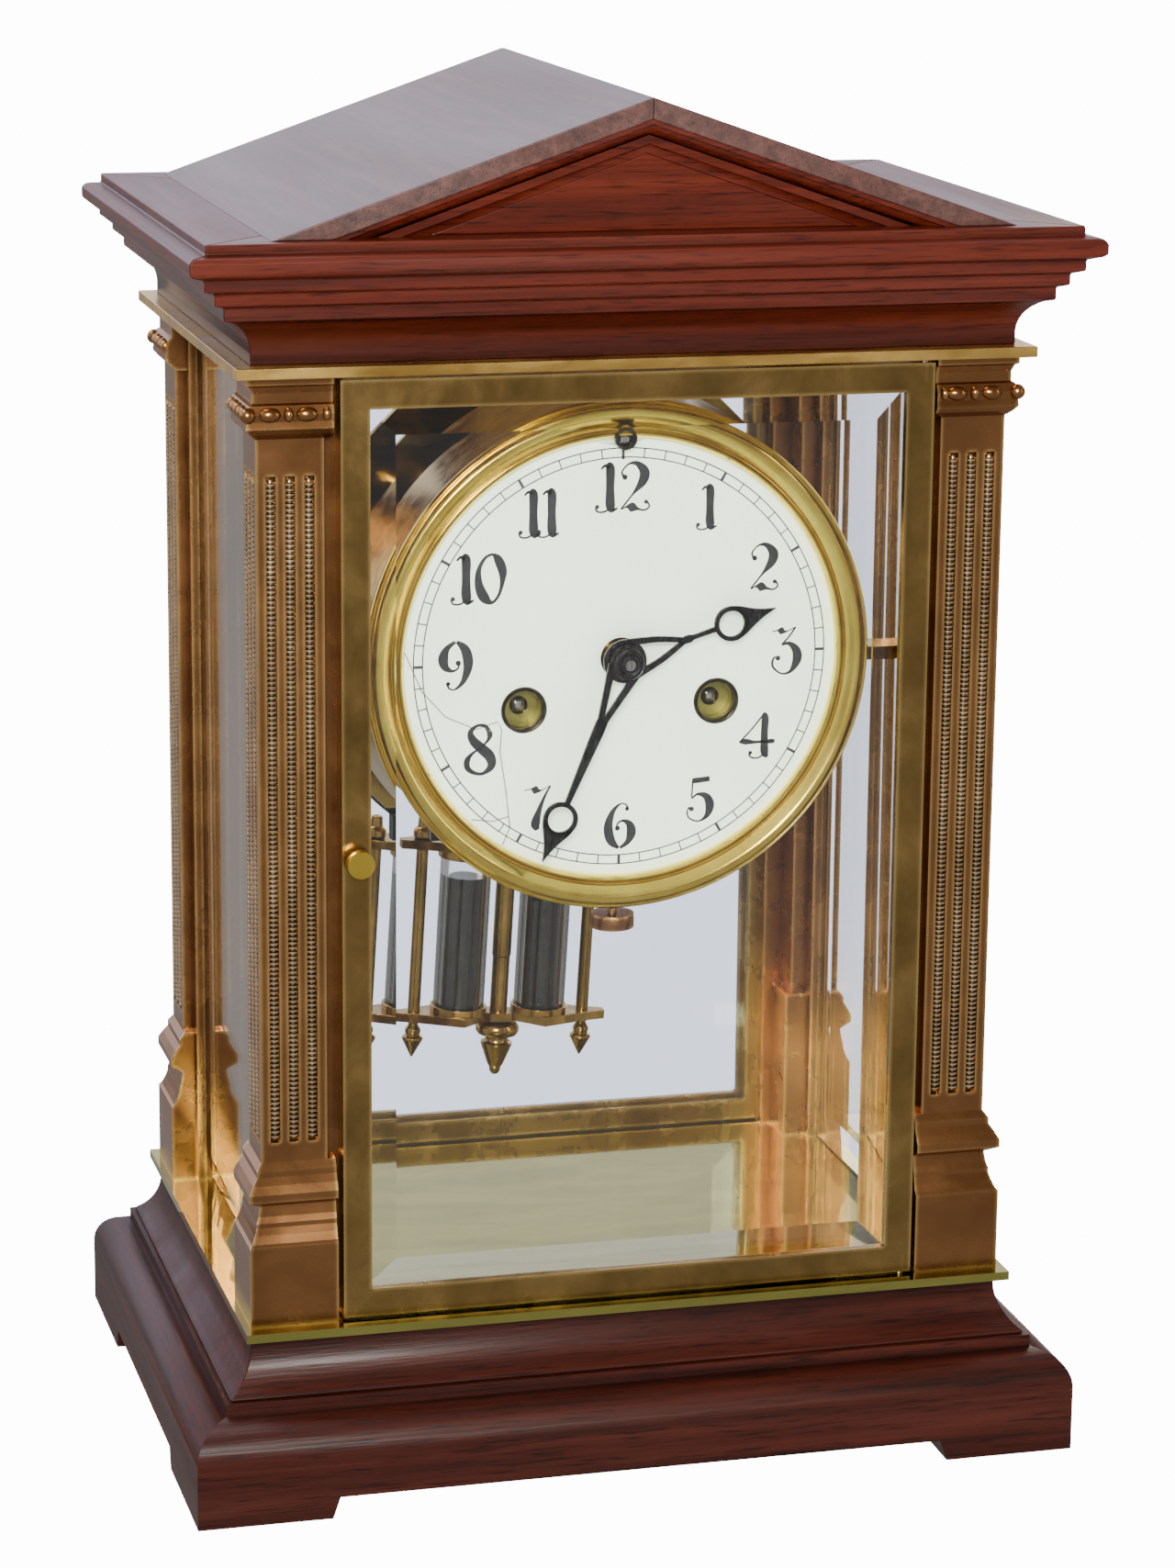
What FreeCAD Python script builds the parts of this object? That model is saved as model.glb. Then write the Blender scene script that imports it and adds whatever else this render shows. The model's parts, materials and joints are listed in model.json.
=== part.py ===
import FreeCAD, Part
import math
import os

import Sketcher

# Mantel clock: a mahogany base and pediment around a brass case with four
# bevelled glasses, a round striking movement and a two-vial pendulum.
# Units are millimetres.  X runs to the right, Y to the back, Z up.  The origin
# is on the ground at the middle of the feet, and the dial faces -Y.

Vector = FreeCAD.Vector
Rotation = FreeCAD.Rotation
Placement = FreeCAD.Placement

X_AXIS = Vector(1, 0, 0)
Y_AXIS = Vector(0, 1, 0)
Z_AXIS = Vector(0, 0, 1)

doc = FreeCAD.newDocument("mantel_clock")

# ---------------------------------------------------------------------------
# Driving dimensions
# ---------------------------------------------------------------------------

DIMENSIONS = [
    # wooden base
    ("plinth_half_width", 102.0),
    ("plinth_half_depth", 75.5),
    ("plinth_board", 17.0),
    ("plinth_face_top", 15.0),
    ("plinth_ovolo", 8.0),
    ("plinth_top", 25.7),
    ("foot_gap", 4.9),
    ("front_foot", 32.0),
    ("side_foot", 38.0),
    ("foot_splay", 2.0),
    ("base_board_inset", 9.2),
    ("base_cove_radius", 13.0),
    ("base_neck_inset", 14.8),
    ("base_cove_top", 36.6),
    # brass plates
    ("plate_half_width", 89.0),
    ("base_plate_half_depth", 66.0),
    ("top_plate_half_depth", 64.4),
    ("floor_low", 39.0),
    ("floor_top", 41.0),
    ("ceiling_low", 252.6),
    ("ceiling_top", 255.0),
    # wooden cornice and roof
    ("cornice_half_width", 100.5),
    ("cornice_half_depth", 75.2),
    ("cornice_board", 30.0),
    ("cornice_neck_inset", 15.2),
    ("cornice_cove_radius", 7.9),
    ("cornice_top", 282.0),
    ("ceiling_board", 12.0),
    ("roof_half_width", 82.2),
    ("roof_half_depth", 67.6),
    ("ridge_height", 310.6),
    ("roof_thickness", 4.4),
    ("rake_drop", 12.1),
    ("rake_depth", 9.0),
    ("tympanum_inset", 5.0),
    ("tympanum_thickness", 4.0),
    # brass posts
    ("post_outer_x", 84.0),
    ("post_outer_y", 58.2),
    ("post_shaft", 14.8),
    ("post_block", 3.3),
    ("post_inner_x", 67.4),
    ("post_inner_y", 41.6),
    ("post_block_top", 60.0),
    ("flute_width", 2.2),
    ("flute_depth", 1.2),
    ("flute_pitch", 4.2),
    ("flute_low", 82.5),
    ("flute_top", 231.0),
    ("web_recess", 2.6),
    ("web_thickness", 3.4),
    ("web_reach", 4.6),
    ("case_screw_radius", 1.5),
    ("case_screw_head", 3.0),
    # glass
    ("glass_gap", 0.1),
    ("side_glass_outer", 79.2),
    ("side_glass_half", 41.2),
    ("pane_edge", 2.0),
    ("pane_bevel", 1.6),
    ("bevel_width", 7.5),
    # doors
    ("door_half_width", 66.3),
    ("door_low", 41.6),
    ("door_top", 251.7),
    ("door_front", 61.8),
    ("door_thickness", 6.0),
    ("door_rail", 6.4),
    ("door_rebate", 1.6),
    ("door_face", 2.2),
    ("door_corner", 2.4),
    ("hinge_inset", 2.0),
    ("hinge_pin_radius", 1.0),
    ("running_gap", 0.05),
    ("latch_height", 146.6),
    ("latch_x", 62.9),
    ("latch_spindle", 1.1),
    ("latch_knob", 3.0),
    ("latch_tongue", 2.4),
    # movement
    ("dial_height", 185.45),
    ("dial_front", -45.0),
    ("dial_thickness", 1.6),
    ("dial_radius", 50.4),
    ("bezel_radius", 56.9),
    ("sleeve_radius", 54.6),
    ("sleeve_wall", 0.8),
    ("sleeve_rear", -18.0),
    ("front_plate_y", -35.0),
    ("rear_plate_y", 9.0),
    ("plate_thickness", 1.6),
    ("rear_plate_half", 46.0),
    ("rear_plate_corner", 33.2),
    ("pillar_radius", 2.6),
    ("pivot_radius", 0.8),
    ("arbor_radius", 1.2),
    ("winding_x", 22.1),
    ("winding_drop", 10.75),
    ("winding_hole", 4.7),
    ("barrel_radius", 16.5),
    ("barrel_front", -29.0),
    ("barrel_rear", -10.0),
    ("hour_angle", 73.0),
    ("minute_angle", 203.3),
    ("hour_hand_length", 36.0),
    ("minute_hand_length", 48.1),
    ("anchor_height", 40.8),
    ("escape_height", 29.5),
    ("escape_radius", 8.0),
    ("gong_drop", 15.45),
    ("gong_radius", 48.0),
    ("gong_wire", 1.1),
    ("gong_y", 21.0),
    # pendulum
    ("pendulum_y", 36.0),
    ("pendulum_tilt", 3.1),
    ("pendulum_half_bar", 26.6),
    ("pendulum_side_rod", 21.1),
    ("vial_x", 10.1),
    ("vial_radius", 6.2),
    ("vial_wall", 1.1),
    ("mercury_radius", 4.2),
    ("top_bar_z", 121.6),
    ("low_bar_z", 78.4),
    ("bar_thickness", 2.2),
]

sheet = doc.addObject("Spreadsheet::Sheet", "dims")
for row, (alias, value) in enumerate(DIMENSIONS, start=1):
    cell = "B%d" % row
    sheet.set("A%d" % row, alias)
    sheet.set(cell, str(value))
    sheet.setAlias(cell, alias)
doc.recompute()

SUB_PARTS = []


def dim(alias):
    """The value of one cell of the sheet."""
    return float(sheet.get(alias))


def bound(alias_text):
    """An expression that reads the sheet, written with bare aliases in braces."""
    return alias_text.replace("{", "dims.").replace("}", "")


def number(alias_text):
    """The present value of an expression over the sheet."""
    value = sheet.evalExpression(bound(alias_text))
    return float(getattr(value, "Value", value))


def keep(piece, label):
    """Name a finished sub-part, so that it is checked and exported."""
    piece.Label = label
    SUB_PARTS.append(piece)
    return piece


# ---------------------------------------------------------------------------
# Helpers for Part primitives and booleans
# ---------------------------------------------------------------------------

def bind_place(piece, place):
    for axis, text in zip("xyz", place):
        piece.setExpression("Placement.Base." + axis, bound(text))


def box(name, low, size):
    """A block from its lowest corner and its size, all as expressions."""
    piece = doc.addObject("Part::Box", name)
    for prop, text in zip(("Length", "Width", "Height"), size):
        piece.setExpression(prop, bound(text))
    bind_place(piece, low)
    return piece


def rod(name, start, radius, length, direction="y"):
    """A round bar that starts at a point and runs along +x, +y or +z."""
    piece = doc.addObject("Part::Cylinder", name)
    piece.setExpression("Radius", bound(radius))
    piece.setExpression("Height", bound(length))
    turns = {
        "x": Rotation(Y_AXIS, 90),
        "y": Rotation(X_AXIS, -90),
        "z": Rotation(),
    }
    piece.Placement = Placement(Vector(), turns[direction])
    bind_place(piece, start)
    return piece


def cone(name, start, radius_low, radius_top, length):
    piece = doc.addObject("Part::Cone", name)
    piece.setExpression("Radius1", bound(radius_low))
    piece.setExpression("Radius2", bound(radius_top))
    piece.setExpression("Height", bound(length))
    bind_place(piece, start)
    return piece


def fuse(name, pieces):
    piece = doc.addObject("Part::MultiFuse", name)
    piece.Shapes = pieces
    return piece


def cut(name, base, tools):
    piece = doc.addObject("Part::Cut", name)
    piece.Base = base
    piece.Tool = tools[0] if len(tools) == 1 else fuse(name + "_tools", tools)
    return piece


def common(name, first, second):
    piece = doc.addObject("Part::Common", name)
    piece.Base = first
    piece.Tool = second
    return piece


def group(name, pieces):
    """Separate solids that share one node."""
    piece = doc.addObject("Part::Compound", name)
    piece.Links = pieces
    return piece


# ---------------------------------------------------------------------------
# Helpers for sketches
# ---------------------------------------------------------------------------

def arc_between(start, end, radius):
    """The short arc from start to end with its centre to the left of the chord."""
    chord = end - start
    half = chord.Length / 2.0
    rise = math.sqrt(max(radius * radius - half * half, 0.0))
    left = Vector(-chord.y, chord.x, 0).normalize()
    centre = (start + end) * 0.5 + left * rise
    first = math.atan2(start.y - centre.y, start.x - centre.x)
    last = math.atan2(end.y - centre.y, end.x - centre.x)
    if last < first:
        last += 2 * math.pi
    return Part.ArcOfCircle(Part.Circle(centre, Z_AXIS, radius), first, last)


def draw_outline(sketch, corners):
    """Draw a closed outline whose corners and radii follow the sheet.

    Each corner is (x, y) for a straight side to the next corner, or
    (x, y, radius, side) for an arc to the next corner.  side is +1 when the
    arc's centre lies to the left of its chord and -1 when it lies to the right.
    """
    points = [Vector(number(c[0]), number(c[1]), 0) for c in corners]
    total = len(corners)
    sides = []
    for index, corner in enumerate(corners):
        start = points[index]
        end = points[(index + 1) % total]
        if len(corner) == 2:
            side = sketch.addGeometry(Part.LineSegment(start, end), False)
            sides.append((side, 1, 2))
            continue
        radius = number(corner[2])
        forward = corner[3] > 0
        arc = arc_between(start, end, radius) if forward else arc_between(end, start, radius)
        side = sketch.addGeometry(arc, False)
        sides.append((side, 1, 2) if forward else (side, 2, 1))
    for index in range(total):
        side, first, last = sides[index]
        following, next_first, _ = sides[(index + 1) % total]
        sketch.addConstraint(Sketcher.Constraint("Coincident", side, last, following, next_first))
    for index, corner in enumerate(corners):
        side, first, _ = sides[index]
        point = points[index]
        for kind, value, text in (("DistanceX", point.x, corner[0]), ("DistanceY", point.y, corner[1])):
            made = sketch.addConstraint(Sketcher.Constraint(kind, -1, 1, side, first, value))
            sketch.setExpression("Constraints[%d]" % made, bound(text))
        if len(corner) == 4:
            made = sketch.addConstraint(Sketcher.Constraint("Radius", side, number(corner[2])))
            sketch.setExpression("Constraints[%d]" % made, bound(corner[2]))


def loose_sketch(name, corners, across, up, origin=("0", "0", "0")):
    """A sketch whose own x and y run along the given directions."""
    sketch = doc.addObject("Sketcher::SketchObject", name)
    sketch.Placement = Placement(Vector(), Rotation(across, up, across.cross(up), "XYZ"))
    bind_place(sketch, origin)
    draw_outline(sketch, corners)
    return sketch


def extrude(name, sketch, direction, length, symmetric=False):
    piece = doc.addObject("Part::Extrusion", name)
    piece.Base = sketch
    piece.DirMode = "Custom"
    piece.Dir = direction
    piece.Solid = True
    piece.Symmetric = symmetric
    piece.setExpression("LengthFwd", bound(length))
    return piece


def prism(name, corners, across, up, origin, direction, length, symmetric=False):
    sketch = loose_sketch(name + "_outline", corners, across, up, origin)
    return extrude(name, sketch, direction, length, symmetric)


def plane_of(body, role):
    for feature in body.Origin.OriginFeatures:
        if feature.Role == role:
            return feature
    raise ValueError(role)


def new_body(name):
    return doc.addObject("PartDesign::Body", name)


def body_sketch(body, name, role, corners, offset="0"):
    sketch = body.newObject("Sketcher::SketchObject", name)
    sketch.AttachmentSupport = [(plane_of(body, role), "")]
    sketch.MapMode = "FlatFace"
    sketch.setExpression("AttachmentOffset.Base.z", bound(offset))
    draw_outline(sketch, corners)
    return sketch


def turned(name, outline, axis_start=None):
    """A body turned on a lathe: an outline of (radius, height) about its own Z."""
    body = new_body(name)
    sketch = body_sketch(body, name + "_outline", "XZ_Plane", outline)
    turn = body.newObject("PartDesign::Revolution", name + "_turned")
    turn.Profile = sketch
    turn.ReferenceAxis = (sketch, ["V_Axis"])
    turn.Angle = 360
    body.Tip = turn
    return body


def face_forward(body, place):
    """Point a turned body's own Z at -Y, and put its origin at a point."""
    body.Placement = Placement(Vector(), Rotation(X_AXIS, 90))
    bind_place(body, place)


# ---------------------------------------------------------------------------
# Wooden base
# ---------------------------------------------------------------------------

SIDES = {
    "front": (Vector(0, -1, 0), X_AXIS),
    "rear": (Vector(0, 1, 0), X_AXIS),
    "left": (Vector(-1, 0, 0), Y_AXIS),
    "right": (Vector(1, 0, 0), Y_AXIS),
}


def mitred_moulding(label, side, outline, half_width, half_depth, board, low, height):
    """One side of a mitred frame.

    The outline's x runs outwards from the frame's outermost face, so that it is
    negative inside the wood, and its y is the height above the ground.
    """
    outward, along = SIDES[side]
    across = side in ("front", "rear")
    reach = half_depth if across else half_width
    length = half_width if across else half_depth
    origin = ["0", "0", "0"]
    axis = 1 if across else 0
    sign = "" if (outward.x + outward.y) > 0 else "-"
    origin[axis] = sign + reach
    bar = prism(label + "_bar", outline, outward, Z_AXIS, origin, along,
                "2 * " + length, symmetric=True)
    corners = [
        ("-" + length, reach),
        (length, reach),
        (length + " - " + board, reach + " - " + board),
        ("-" + length + " + " + board, reach + " - " + board),
    ]
    mitre = prism(label + "_mitre", corners, along, outward, ("0", "0", low), Z_AXIS, height)
    return common(label, bar, mitre)


def plinth_outline():
    return [
        ("0", "0"),
        ("0", "{plinth_face_top}", "{plinth_ovolo}", 1),
        ("-{plinth_ovolo}", "{plinth_face_top} + {plinth_ovolo}"),
        ("-{plinth_ovolo}", "{plinth_top}"),
        ("-{plinth_board}", "{plinth_top}"),
        ("-{plinth_board}", "0"),
    ]


def make_plinth():
    """Four mitred boards, each cut away below to leave a foot at either end."""
    for side in SIDES:
        outward, along = SIDES[side]
        across = side in ("front", "rear")
        half = "{plinth_half_width}" if across else "{plinth_half_depth}"
        foot = "{front_foot}" if across else "{side_foot}"
        label = "base_%s_moulding" % side
        board = mitred_moulding(label + "_board", side, plinth_outline(), "{plinth_half_width}",
                                "{plinth_half_depth}", "{plinth_board}", "0", "{plinth_top}")
        arch = [
            ("-(%s - %s + {foot_splay})" % (half, foot), "-1"),
            ("%s - %s + {foot_splay}" % (half, foot), "-1"),
            ("%s - %s" % (half, foot), "{foot_gap}"),
            ("-(%s - %s)" % (half, foot), "{foot_gap}"),
        ]
        notch = prism(label + "_arch", arch, along, Z_AXIS, ("0", "0", "0"), outward,
                      "{plinth_half_width} + 10")
        keep(cut(label, board, [notch]), label)


def moulded_board(name, outline, half_width, half_depth, low, height):
    """A solid board whose four edges share one moulded outline."""
    pieces = []
    for axis, half, other in ((X_AXIS, half_width, half_depth), (Y_AXIS, half_depth, half_width)):
        mirrored = [tuple([half + " + " + c[0]] + list(c[1:])) for c in outline]
        back = []
        for index in range(len(outline) - 1, -1, -1):
            corner = outline[index]
            place = ("-(" + half + " + " + corner[0] + ")", corner[1])
            before = outline[index - 1] if index > 0 else ()
            if len(before) == 4:
                place = place + (before[2], before[3])
            back.append(place)
        along = Y_AXIS if axis == X_AXIS else X_AXIS
        pieces.append(prism(name + ("_x" if axis == X_AXIS else "_y"), mirrored + back,
                            axis, Z_AXIS, ("0", "0", "0"), along, "2 * " + other, symmetric=True))
    return common(name, pieces[0], pieces[1])


def screw_places():
    for sx in ("-", ""):
        for sy in ("-", ""):
            yield (sx + "({post_outer_x} - {post_shaft} / 2)", sy + "({post_outer_y} - {post_shaft} / 2)")


def make_base_board():
    """The board under the brass floor, coved all round, with its screw holes."""
    outline = [
        ("-{base_board_inset}", "{plinth_top}"),
        ("-{base_board_inset}", "{plinth_top} + 0.6", "{base_cove_radius}", -1),
        ("-{base_neck_inset}", "{base_cove_top}"),
        ("-{base_neck_inset}", "{floor_low}"),
    ]
    board = moulded_board("base_board_solid", outline, "{plinth_half_width}", "{plinth_half_depth}",
                          "{plinth_top}", "{floor_low} - {plinth_top}")
    holes = []
    for index, (x, y) in enumerate(screw_places()):
        holes.append(rod("base_board_hole_%d" % index, (x, y, "{plinth_top} - 1"),
                         "{case_screw_radius} + {running_gap}", "20", "z"))
        holes.append(rod("base_board_sink_%d" % index, (x, y, "{plinth_top} - 1"),
                         "{case_screw_head} + {glass_gap}", "4", "z"))
    keep(cut("base_board", board, holes), "base_board")


# ---------------------------------------------------------------------------
# Wooden cornice and roof
# ---------------------------------------------------------------------------

def cornice_outline():
    """The crown: a coved neck, three fillets, a broad band and a top member."""
    return [
        ("-{cornice_neck_inset}", "{ceiling_top}"),
        ("-{cornice_neck_inset}", "{ceiling_top} + 2.6", "{cornice_cove_radius}", -1),
        ("-{cornice_neck_inset} + 6.2", "{ceiling_top} + 10.3"),
        ("-8.5", "{ceiling_top} + 10.3"),
        ("-8.5", "{ceiling_top} + 13.2"),
        ("-6.2", "{ceiling_top} + 13.9"),
        ("-6.2", "{ceiling_top} + 16.4"),
        ("-3.6", "{ceiling_top} + 17.2"),
        ("-3.6", "{ceiling_top} + 19.6"),
        ("-0.6", "{ceiling_top} + 20.6"),
        ("0", "{ceiling_top} + 21.2"),
        ("0", "{ceiling_top} + 23.6"),
        ("-0.9", "{ceiling_top} + 24.5"),
        ("-4.0", "{ceiling_top} + 24.9"),
        ("-4.0", "{cornice_top}"),
        ("-{cornice_board}", "{cornice_top}"),
        ("-{cornice_board}", "{ceiling_top}"),
    ]


def make_cornice():
    for side in SIDES:
        label = "cornice_%s_moulding" % side
        piece = mitred_moulding(label, side, cornice_outline(), "{cornice_half_width}",
                                "{cornice_half_depth}", "{cornice_board}", "{ceiling_top}",
                                "{cornice_top} - {ceiling_top}")
        keep(piece, label)
    inner_x = "({cornice_half_width} - {cornice_board})"
    inner_y = "({cornice_half_depth} - {cornice_board})"
    board = box("cornice_board", ("-" + inner_x, "-" + inner_y, "{ceiling_top}"),
                ("2 * " + inner_x, "2 * " + inner_y, "{ceiling_board}"))
    keep(board, "cornice_board")


RISE = "({ridge_height} - {cornice_top})"


def make_roof():
    """Two sloping boards that meet at the ridge."""
    slope = RISE + " / {roof_half_width}"
    drop = "({roof_thickness} * sqrt(1 + (%s)^2))" % slope
    for side, sign in (("left", "-"), ("right", "")):
        label = "roof_%s_board" % side
        corners = [
            (sign + "{roof_half_width}", "{cornice_top}"),
            ("0", "{ridge_height}"),
            ("0", "{ridge_height} - " + drop),
            (sign + "({roof_half_width} - %s / (%s))" % (drop, slope), "{cornice_top}"),
        ]
        board = prism(label, corners, X_AXIS, Z_AXIS, ("0", "0", "0"), Y_AXIS,
                      "2 * {roof_half_depth}", symmetric=True)
        keep(board, label)


def make_gables():
    """A raking moulding under each sloping edge, and a recessed panel between."""
    slope = RISE + " / {roof_half_width}"
    drop = "({roof_thickness} * sqrt(1 + (%s)^2))" % slope
    rakes = []
    for end, outward, sign in (("front", Vector(0, -1, 0), "-"), ("rear", Vector(0, 1, 0), "")):
        for side in ("-", ""):
            corners = [
                (side + "({roof_half_width} - %s / (%s))" % (drop, slope), "{cornice_top}"),
                ("0", "{ridge_height} - " + drop),
                ("0", "{ridge_height} - {rake_drop}"),
                (side + "({roof_half_width} - {rake_drop} / (%s))" % slope, "{cornice_top}"),
            ]
            name = "rake_%s_%s" % (end, "left" if side else "right")
            start = ("0", sign + "({roof_half_depth} - {rake_depth})", "0")
            rakes.append(prism(name, corners, X_AXIS, Z_AXIS, start, outward, "{rake_depth} - 0.6"))
        half = "({roof_half_width} - {rake_drop} / (%s))" % slope
        triangle = [
            ("-" + half, "{cornice_top}"),
            (half, "{cornice_top}"),
            ("0", "{ridge_height} - {rake_drop}"),
        ]
        label = end + "_gable_panel"
        start = ("0", sign + "({roof_half_depth} - {tympanum_inset} - {tympanum_thickness})", "0")
        keep(prism(label, triangle, X_AXIS, Z_AXIS, start, outward, "{tympanum_thickness}"), label)
    keep(group("raking_mouldings", rakes), "raking_mouldings")


# ---------------------------------------------------------------------------
# Brass case
# ---------------------------------------------------------------------------

def hinge_places():
    """The two door hinge lines: front door on the right, rear door on the left."""
    x = "({door_half_width} - {hinge_inset})"
    y = "({door_front} - {hinge_inset})"
    return ((x, "-" + y), ("-" + x, y))


def make_plates():
    specs = (
        ("base_plate", "{base_plate_half_depth}", "{floor_low}", "{floor_top}"),
        ("top_plate", "{top_plate_half_depth}", "{ceiling_low}", "{ceiling_top}"),
    )
    for label, depth, low, top in specs:
        height = top + " - " + low
        slab = box(label + "_slab", ("-{plate_half_width}", "-" + depth, low),
                   ("2 * {plate_half_width}", "2 * " + depth, height))
        holes = []
        for index, (x, y) in enumerate(screw_places()):
            holes.append(rod("%s_hole_%d" % (label, index), (x, y, low + " - 1"),
                             "{case_screw_radius} + {running_gap}", height + " + 2", "z"))
            if label == "top_plate":
                holes.append(rod("%s_sink_%d" % (label, index), (x, y, top + " - 1.3"),
                                 "{case_screw_head} + {running_gap}", "2", "z"))
        for index, (x, y) in enumerate(hinge_places()):
            holes.append(rod("%s_hinge_%d" % (label, index), (x, y, low + " - 1"),
                             "{hinge_pin_radius} + {running_gap}", height + " + 2", "z"))
        keep(cut(label, slab, holes), label)


def post_outline(inner, outer):
    """One face of a post: block, base mouldings, shaft and capital.

    The outline's x is the distance from the middle of the clock.
    """
    steps = [
        ("{post_block}", "{floor_top}"),
        ("{post_block}", "{post_block_top} - 0.6"),
        ("{post_block} - 0.6", "{post_block_top}"),
        ("1.9", "{post_block_top} + 1.8"),
        ("1.4", "{post_block_top} + 3.4"),
        ("1.4", "{post_block_top} + 4.4"),
        ("0.9", "{post_block_top} + 5.8"),
        ("0.5", "{post_block_top} + 8.2"),
        ("{post_block}", "{post_block_top} + 9.8"),
        ("{post_block}", "{post_block_top} + 11.6"),
        ("2.3", "{post_block_top} + 13.4"),
        ("1.2", "{post_block_top} + 15.0"),
        ("1.2", "{post_block_top} + 16.4"),
        ("0", "{post_block_top} + 18.0"),
        ("0", "{ceiling_low} - 13.6"),
        ("1.4", "{ceiling_low} - 12.4"),
        ("2.4", "{ceiling_low} - 11.2"),
        ("2.2", "{ceiling_low} - 9.6"),
        ("2.4", "{ceiling_low} - 8.0"),
        ("1.6", "{ceiling_low} - 6.2"),
        ("0.9", "{ceiling_low} - 5.8"),
        ("0.9", "{ceiling_low} - 3.6"),
        ("1.5", "{ceiling_low} - 2.2"),
        ("2.3", "{ceiling_low} - 1.8"),
        ("2.3", "{ceiling_low}"),
    ]
    corners = [(outer + " + " + reach, height) for reach, height in steps]
    corners.append((inner, "{ceiling_low}"))
    corners.append((inner, "{floor_top}"))
    return corners


def mirror_x(corners, sign):
    return [(sign + "(" + corner[0] + ")", corner[1]) for corner in corners]


def post_block_shape(label, sx, sy):
    """The moulded square bar: the same outline on both outer faces."""
    face_x = mirror_x(post_outline("{post_inner_x}", "{post_outer_x}"), sx)
    face_y = mirror_x(post_outline("{post_inner_y}", "{post_outer_y}"), sy)
    run = ("0", "0", "0")
    bar_x = prism(label + "_x", face_x, X_AXIS, Z_AXIS, run, Y_AXIS, "200", symmetric=True)
    bar_y = prism(label + "_y", face_y, Y_AXIS, Z_AXIS, run, X_AXIS, "200", symmetric=True)
    return common(label + "_bar", bar_x, bar_y)


def signed_box(name, sx, sy, near, far, low, high):
    """A block between two corners given as distances from the middle."""
    x = near[0] if sx == "" else "-(" + far[0] + ")"
    y = near[1] if sy == "" else "-(" + far[1] + ")"
    size = ("(%s) - (%s)" % (far[0], near[0]), "(%s) - (%s)" % (far[1], near[1]),
            "(%s) - (%s)" % (high, low))
    return box(name, (x, y, low), size)


def make_posts():
    """Four square posts with fluted shafts, glass grooves and door stops."""
    inner_x = "{post_outer_x} - {post_shaft}"
    inner_y = "{post_outer_y} - {post_shaft}"
    low = "{post_block_top} + 18"
    high = "{ceiling_low} - 13.6"
    places = list(screw_places())
    for end, sy in (("front", "-"), ("rear", "")):
        for side, sx in (("left", "-"), ("right", "")):
            label = "post_%s_%s" % (end, side)
            bar = post_block_shape(label, sx, sy)
            trims = []
            # the shaft is narrower than the block on its two inner faces
            trims.append(signed_box(label + "_trim_x", sx, sy, ("{post_inner_x} - 1", "0"),
                                    (inner_x, "100"), low, high))
            trims.append(signed_box(label + "_trim_y", sx, sy, ("0", "{post_inner_y} - 1"),
                                    ("100", inner_y), low, high))
            # three flutes on each outer face
            for step in (-1, 0, 1):
                offset = " + %d * {flute_pitch} - {flute_width} / 2" % step
                middle_x = "{post_outer_x} - {post_shaft} / 2" + offset
                middle_y = "{post_outer_y} - {post_shaft} / 2" + offset
                trims.append(signed_box("%s_flute_x%d" % (label, step), sx, sy,
                                        (middle_x, "{post_outer_y} - {flute_depth}"),
                                        (middle_x + " + {flute_width}", "{post_outer_y} + 1"),
                                        "{flute_low}", "{flute_top}"))
                trims.append(signed_box("%s_flute_y%d" % (label, step), sx, sy,
                                        ("{post_outer_x} - {flute_depth}", middle_y),
                                        ("{post_outer_x} + 1", middle_y + " + {flute_width}"),
                                        "{flute_low}", "{flute_top}"))
            # screw holes in both ends
            for x, y in places:
                if x.startswith("-") == (sx == "-") and y.startswith("-") == (sy == "-"):
                    trims.append(rod(label + "_hole_low", (x, y, "{floor_top} - 1"),
                                     "{case_screw_radius} + {running_gap}", "13.1", "z"))
                    trims.append(rod(label + "_hole_top", (x, y, "{ceiling_low} - 12"),
                                     "{case_screw_radius} + {running_gap}", "13", "z"))
            shaft = cut(label + "_shaft", bar, trims)
            # the door stop on the front or rear, and the groove for the side glass
            stop = signed_box(label + "_stop", sx, sy,
                              (inner_x + " - {web_reach}",
                               "{post_outer_y} - {web_recess} - {web_thickness}"),
                              (inner_x + " + 0.5", "{post_outer_y} - {web_recess}"),
                              "{floor_top}", "{ceiling_low}")
            lip = signed_box(label + "_lip", sx, sy,
                             ("{side_glass_outer} - {pane_edge} - {pane_bevel} - 2.4",
                              "{side_glass_half} - 1.6"),
                             ("{post_outer_x} - {web_recess}", inner_y + " + 0.5"),
                             "{floor_top}", "{ceiling_low}")
            solid = fuse(label + "_solid", [shaft, stop, lip])
            groove = signed_box(label + "_groove", sx, sy,
                                ("{side_glass_outer} - {pane_edge} - {pane_bevel} - {glass_gap}",
                                 "0"),
                                ("{side_glass_outer} + {glass_gap}",
                                 "{side_glass_half} + {glass_gap}"),
                                "{floor_top} - 1", "{ceiling_low} + 1")
            keep(cut(label, solid, [groove]), label)


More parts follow.
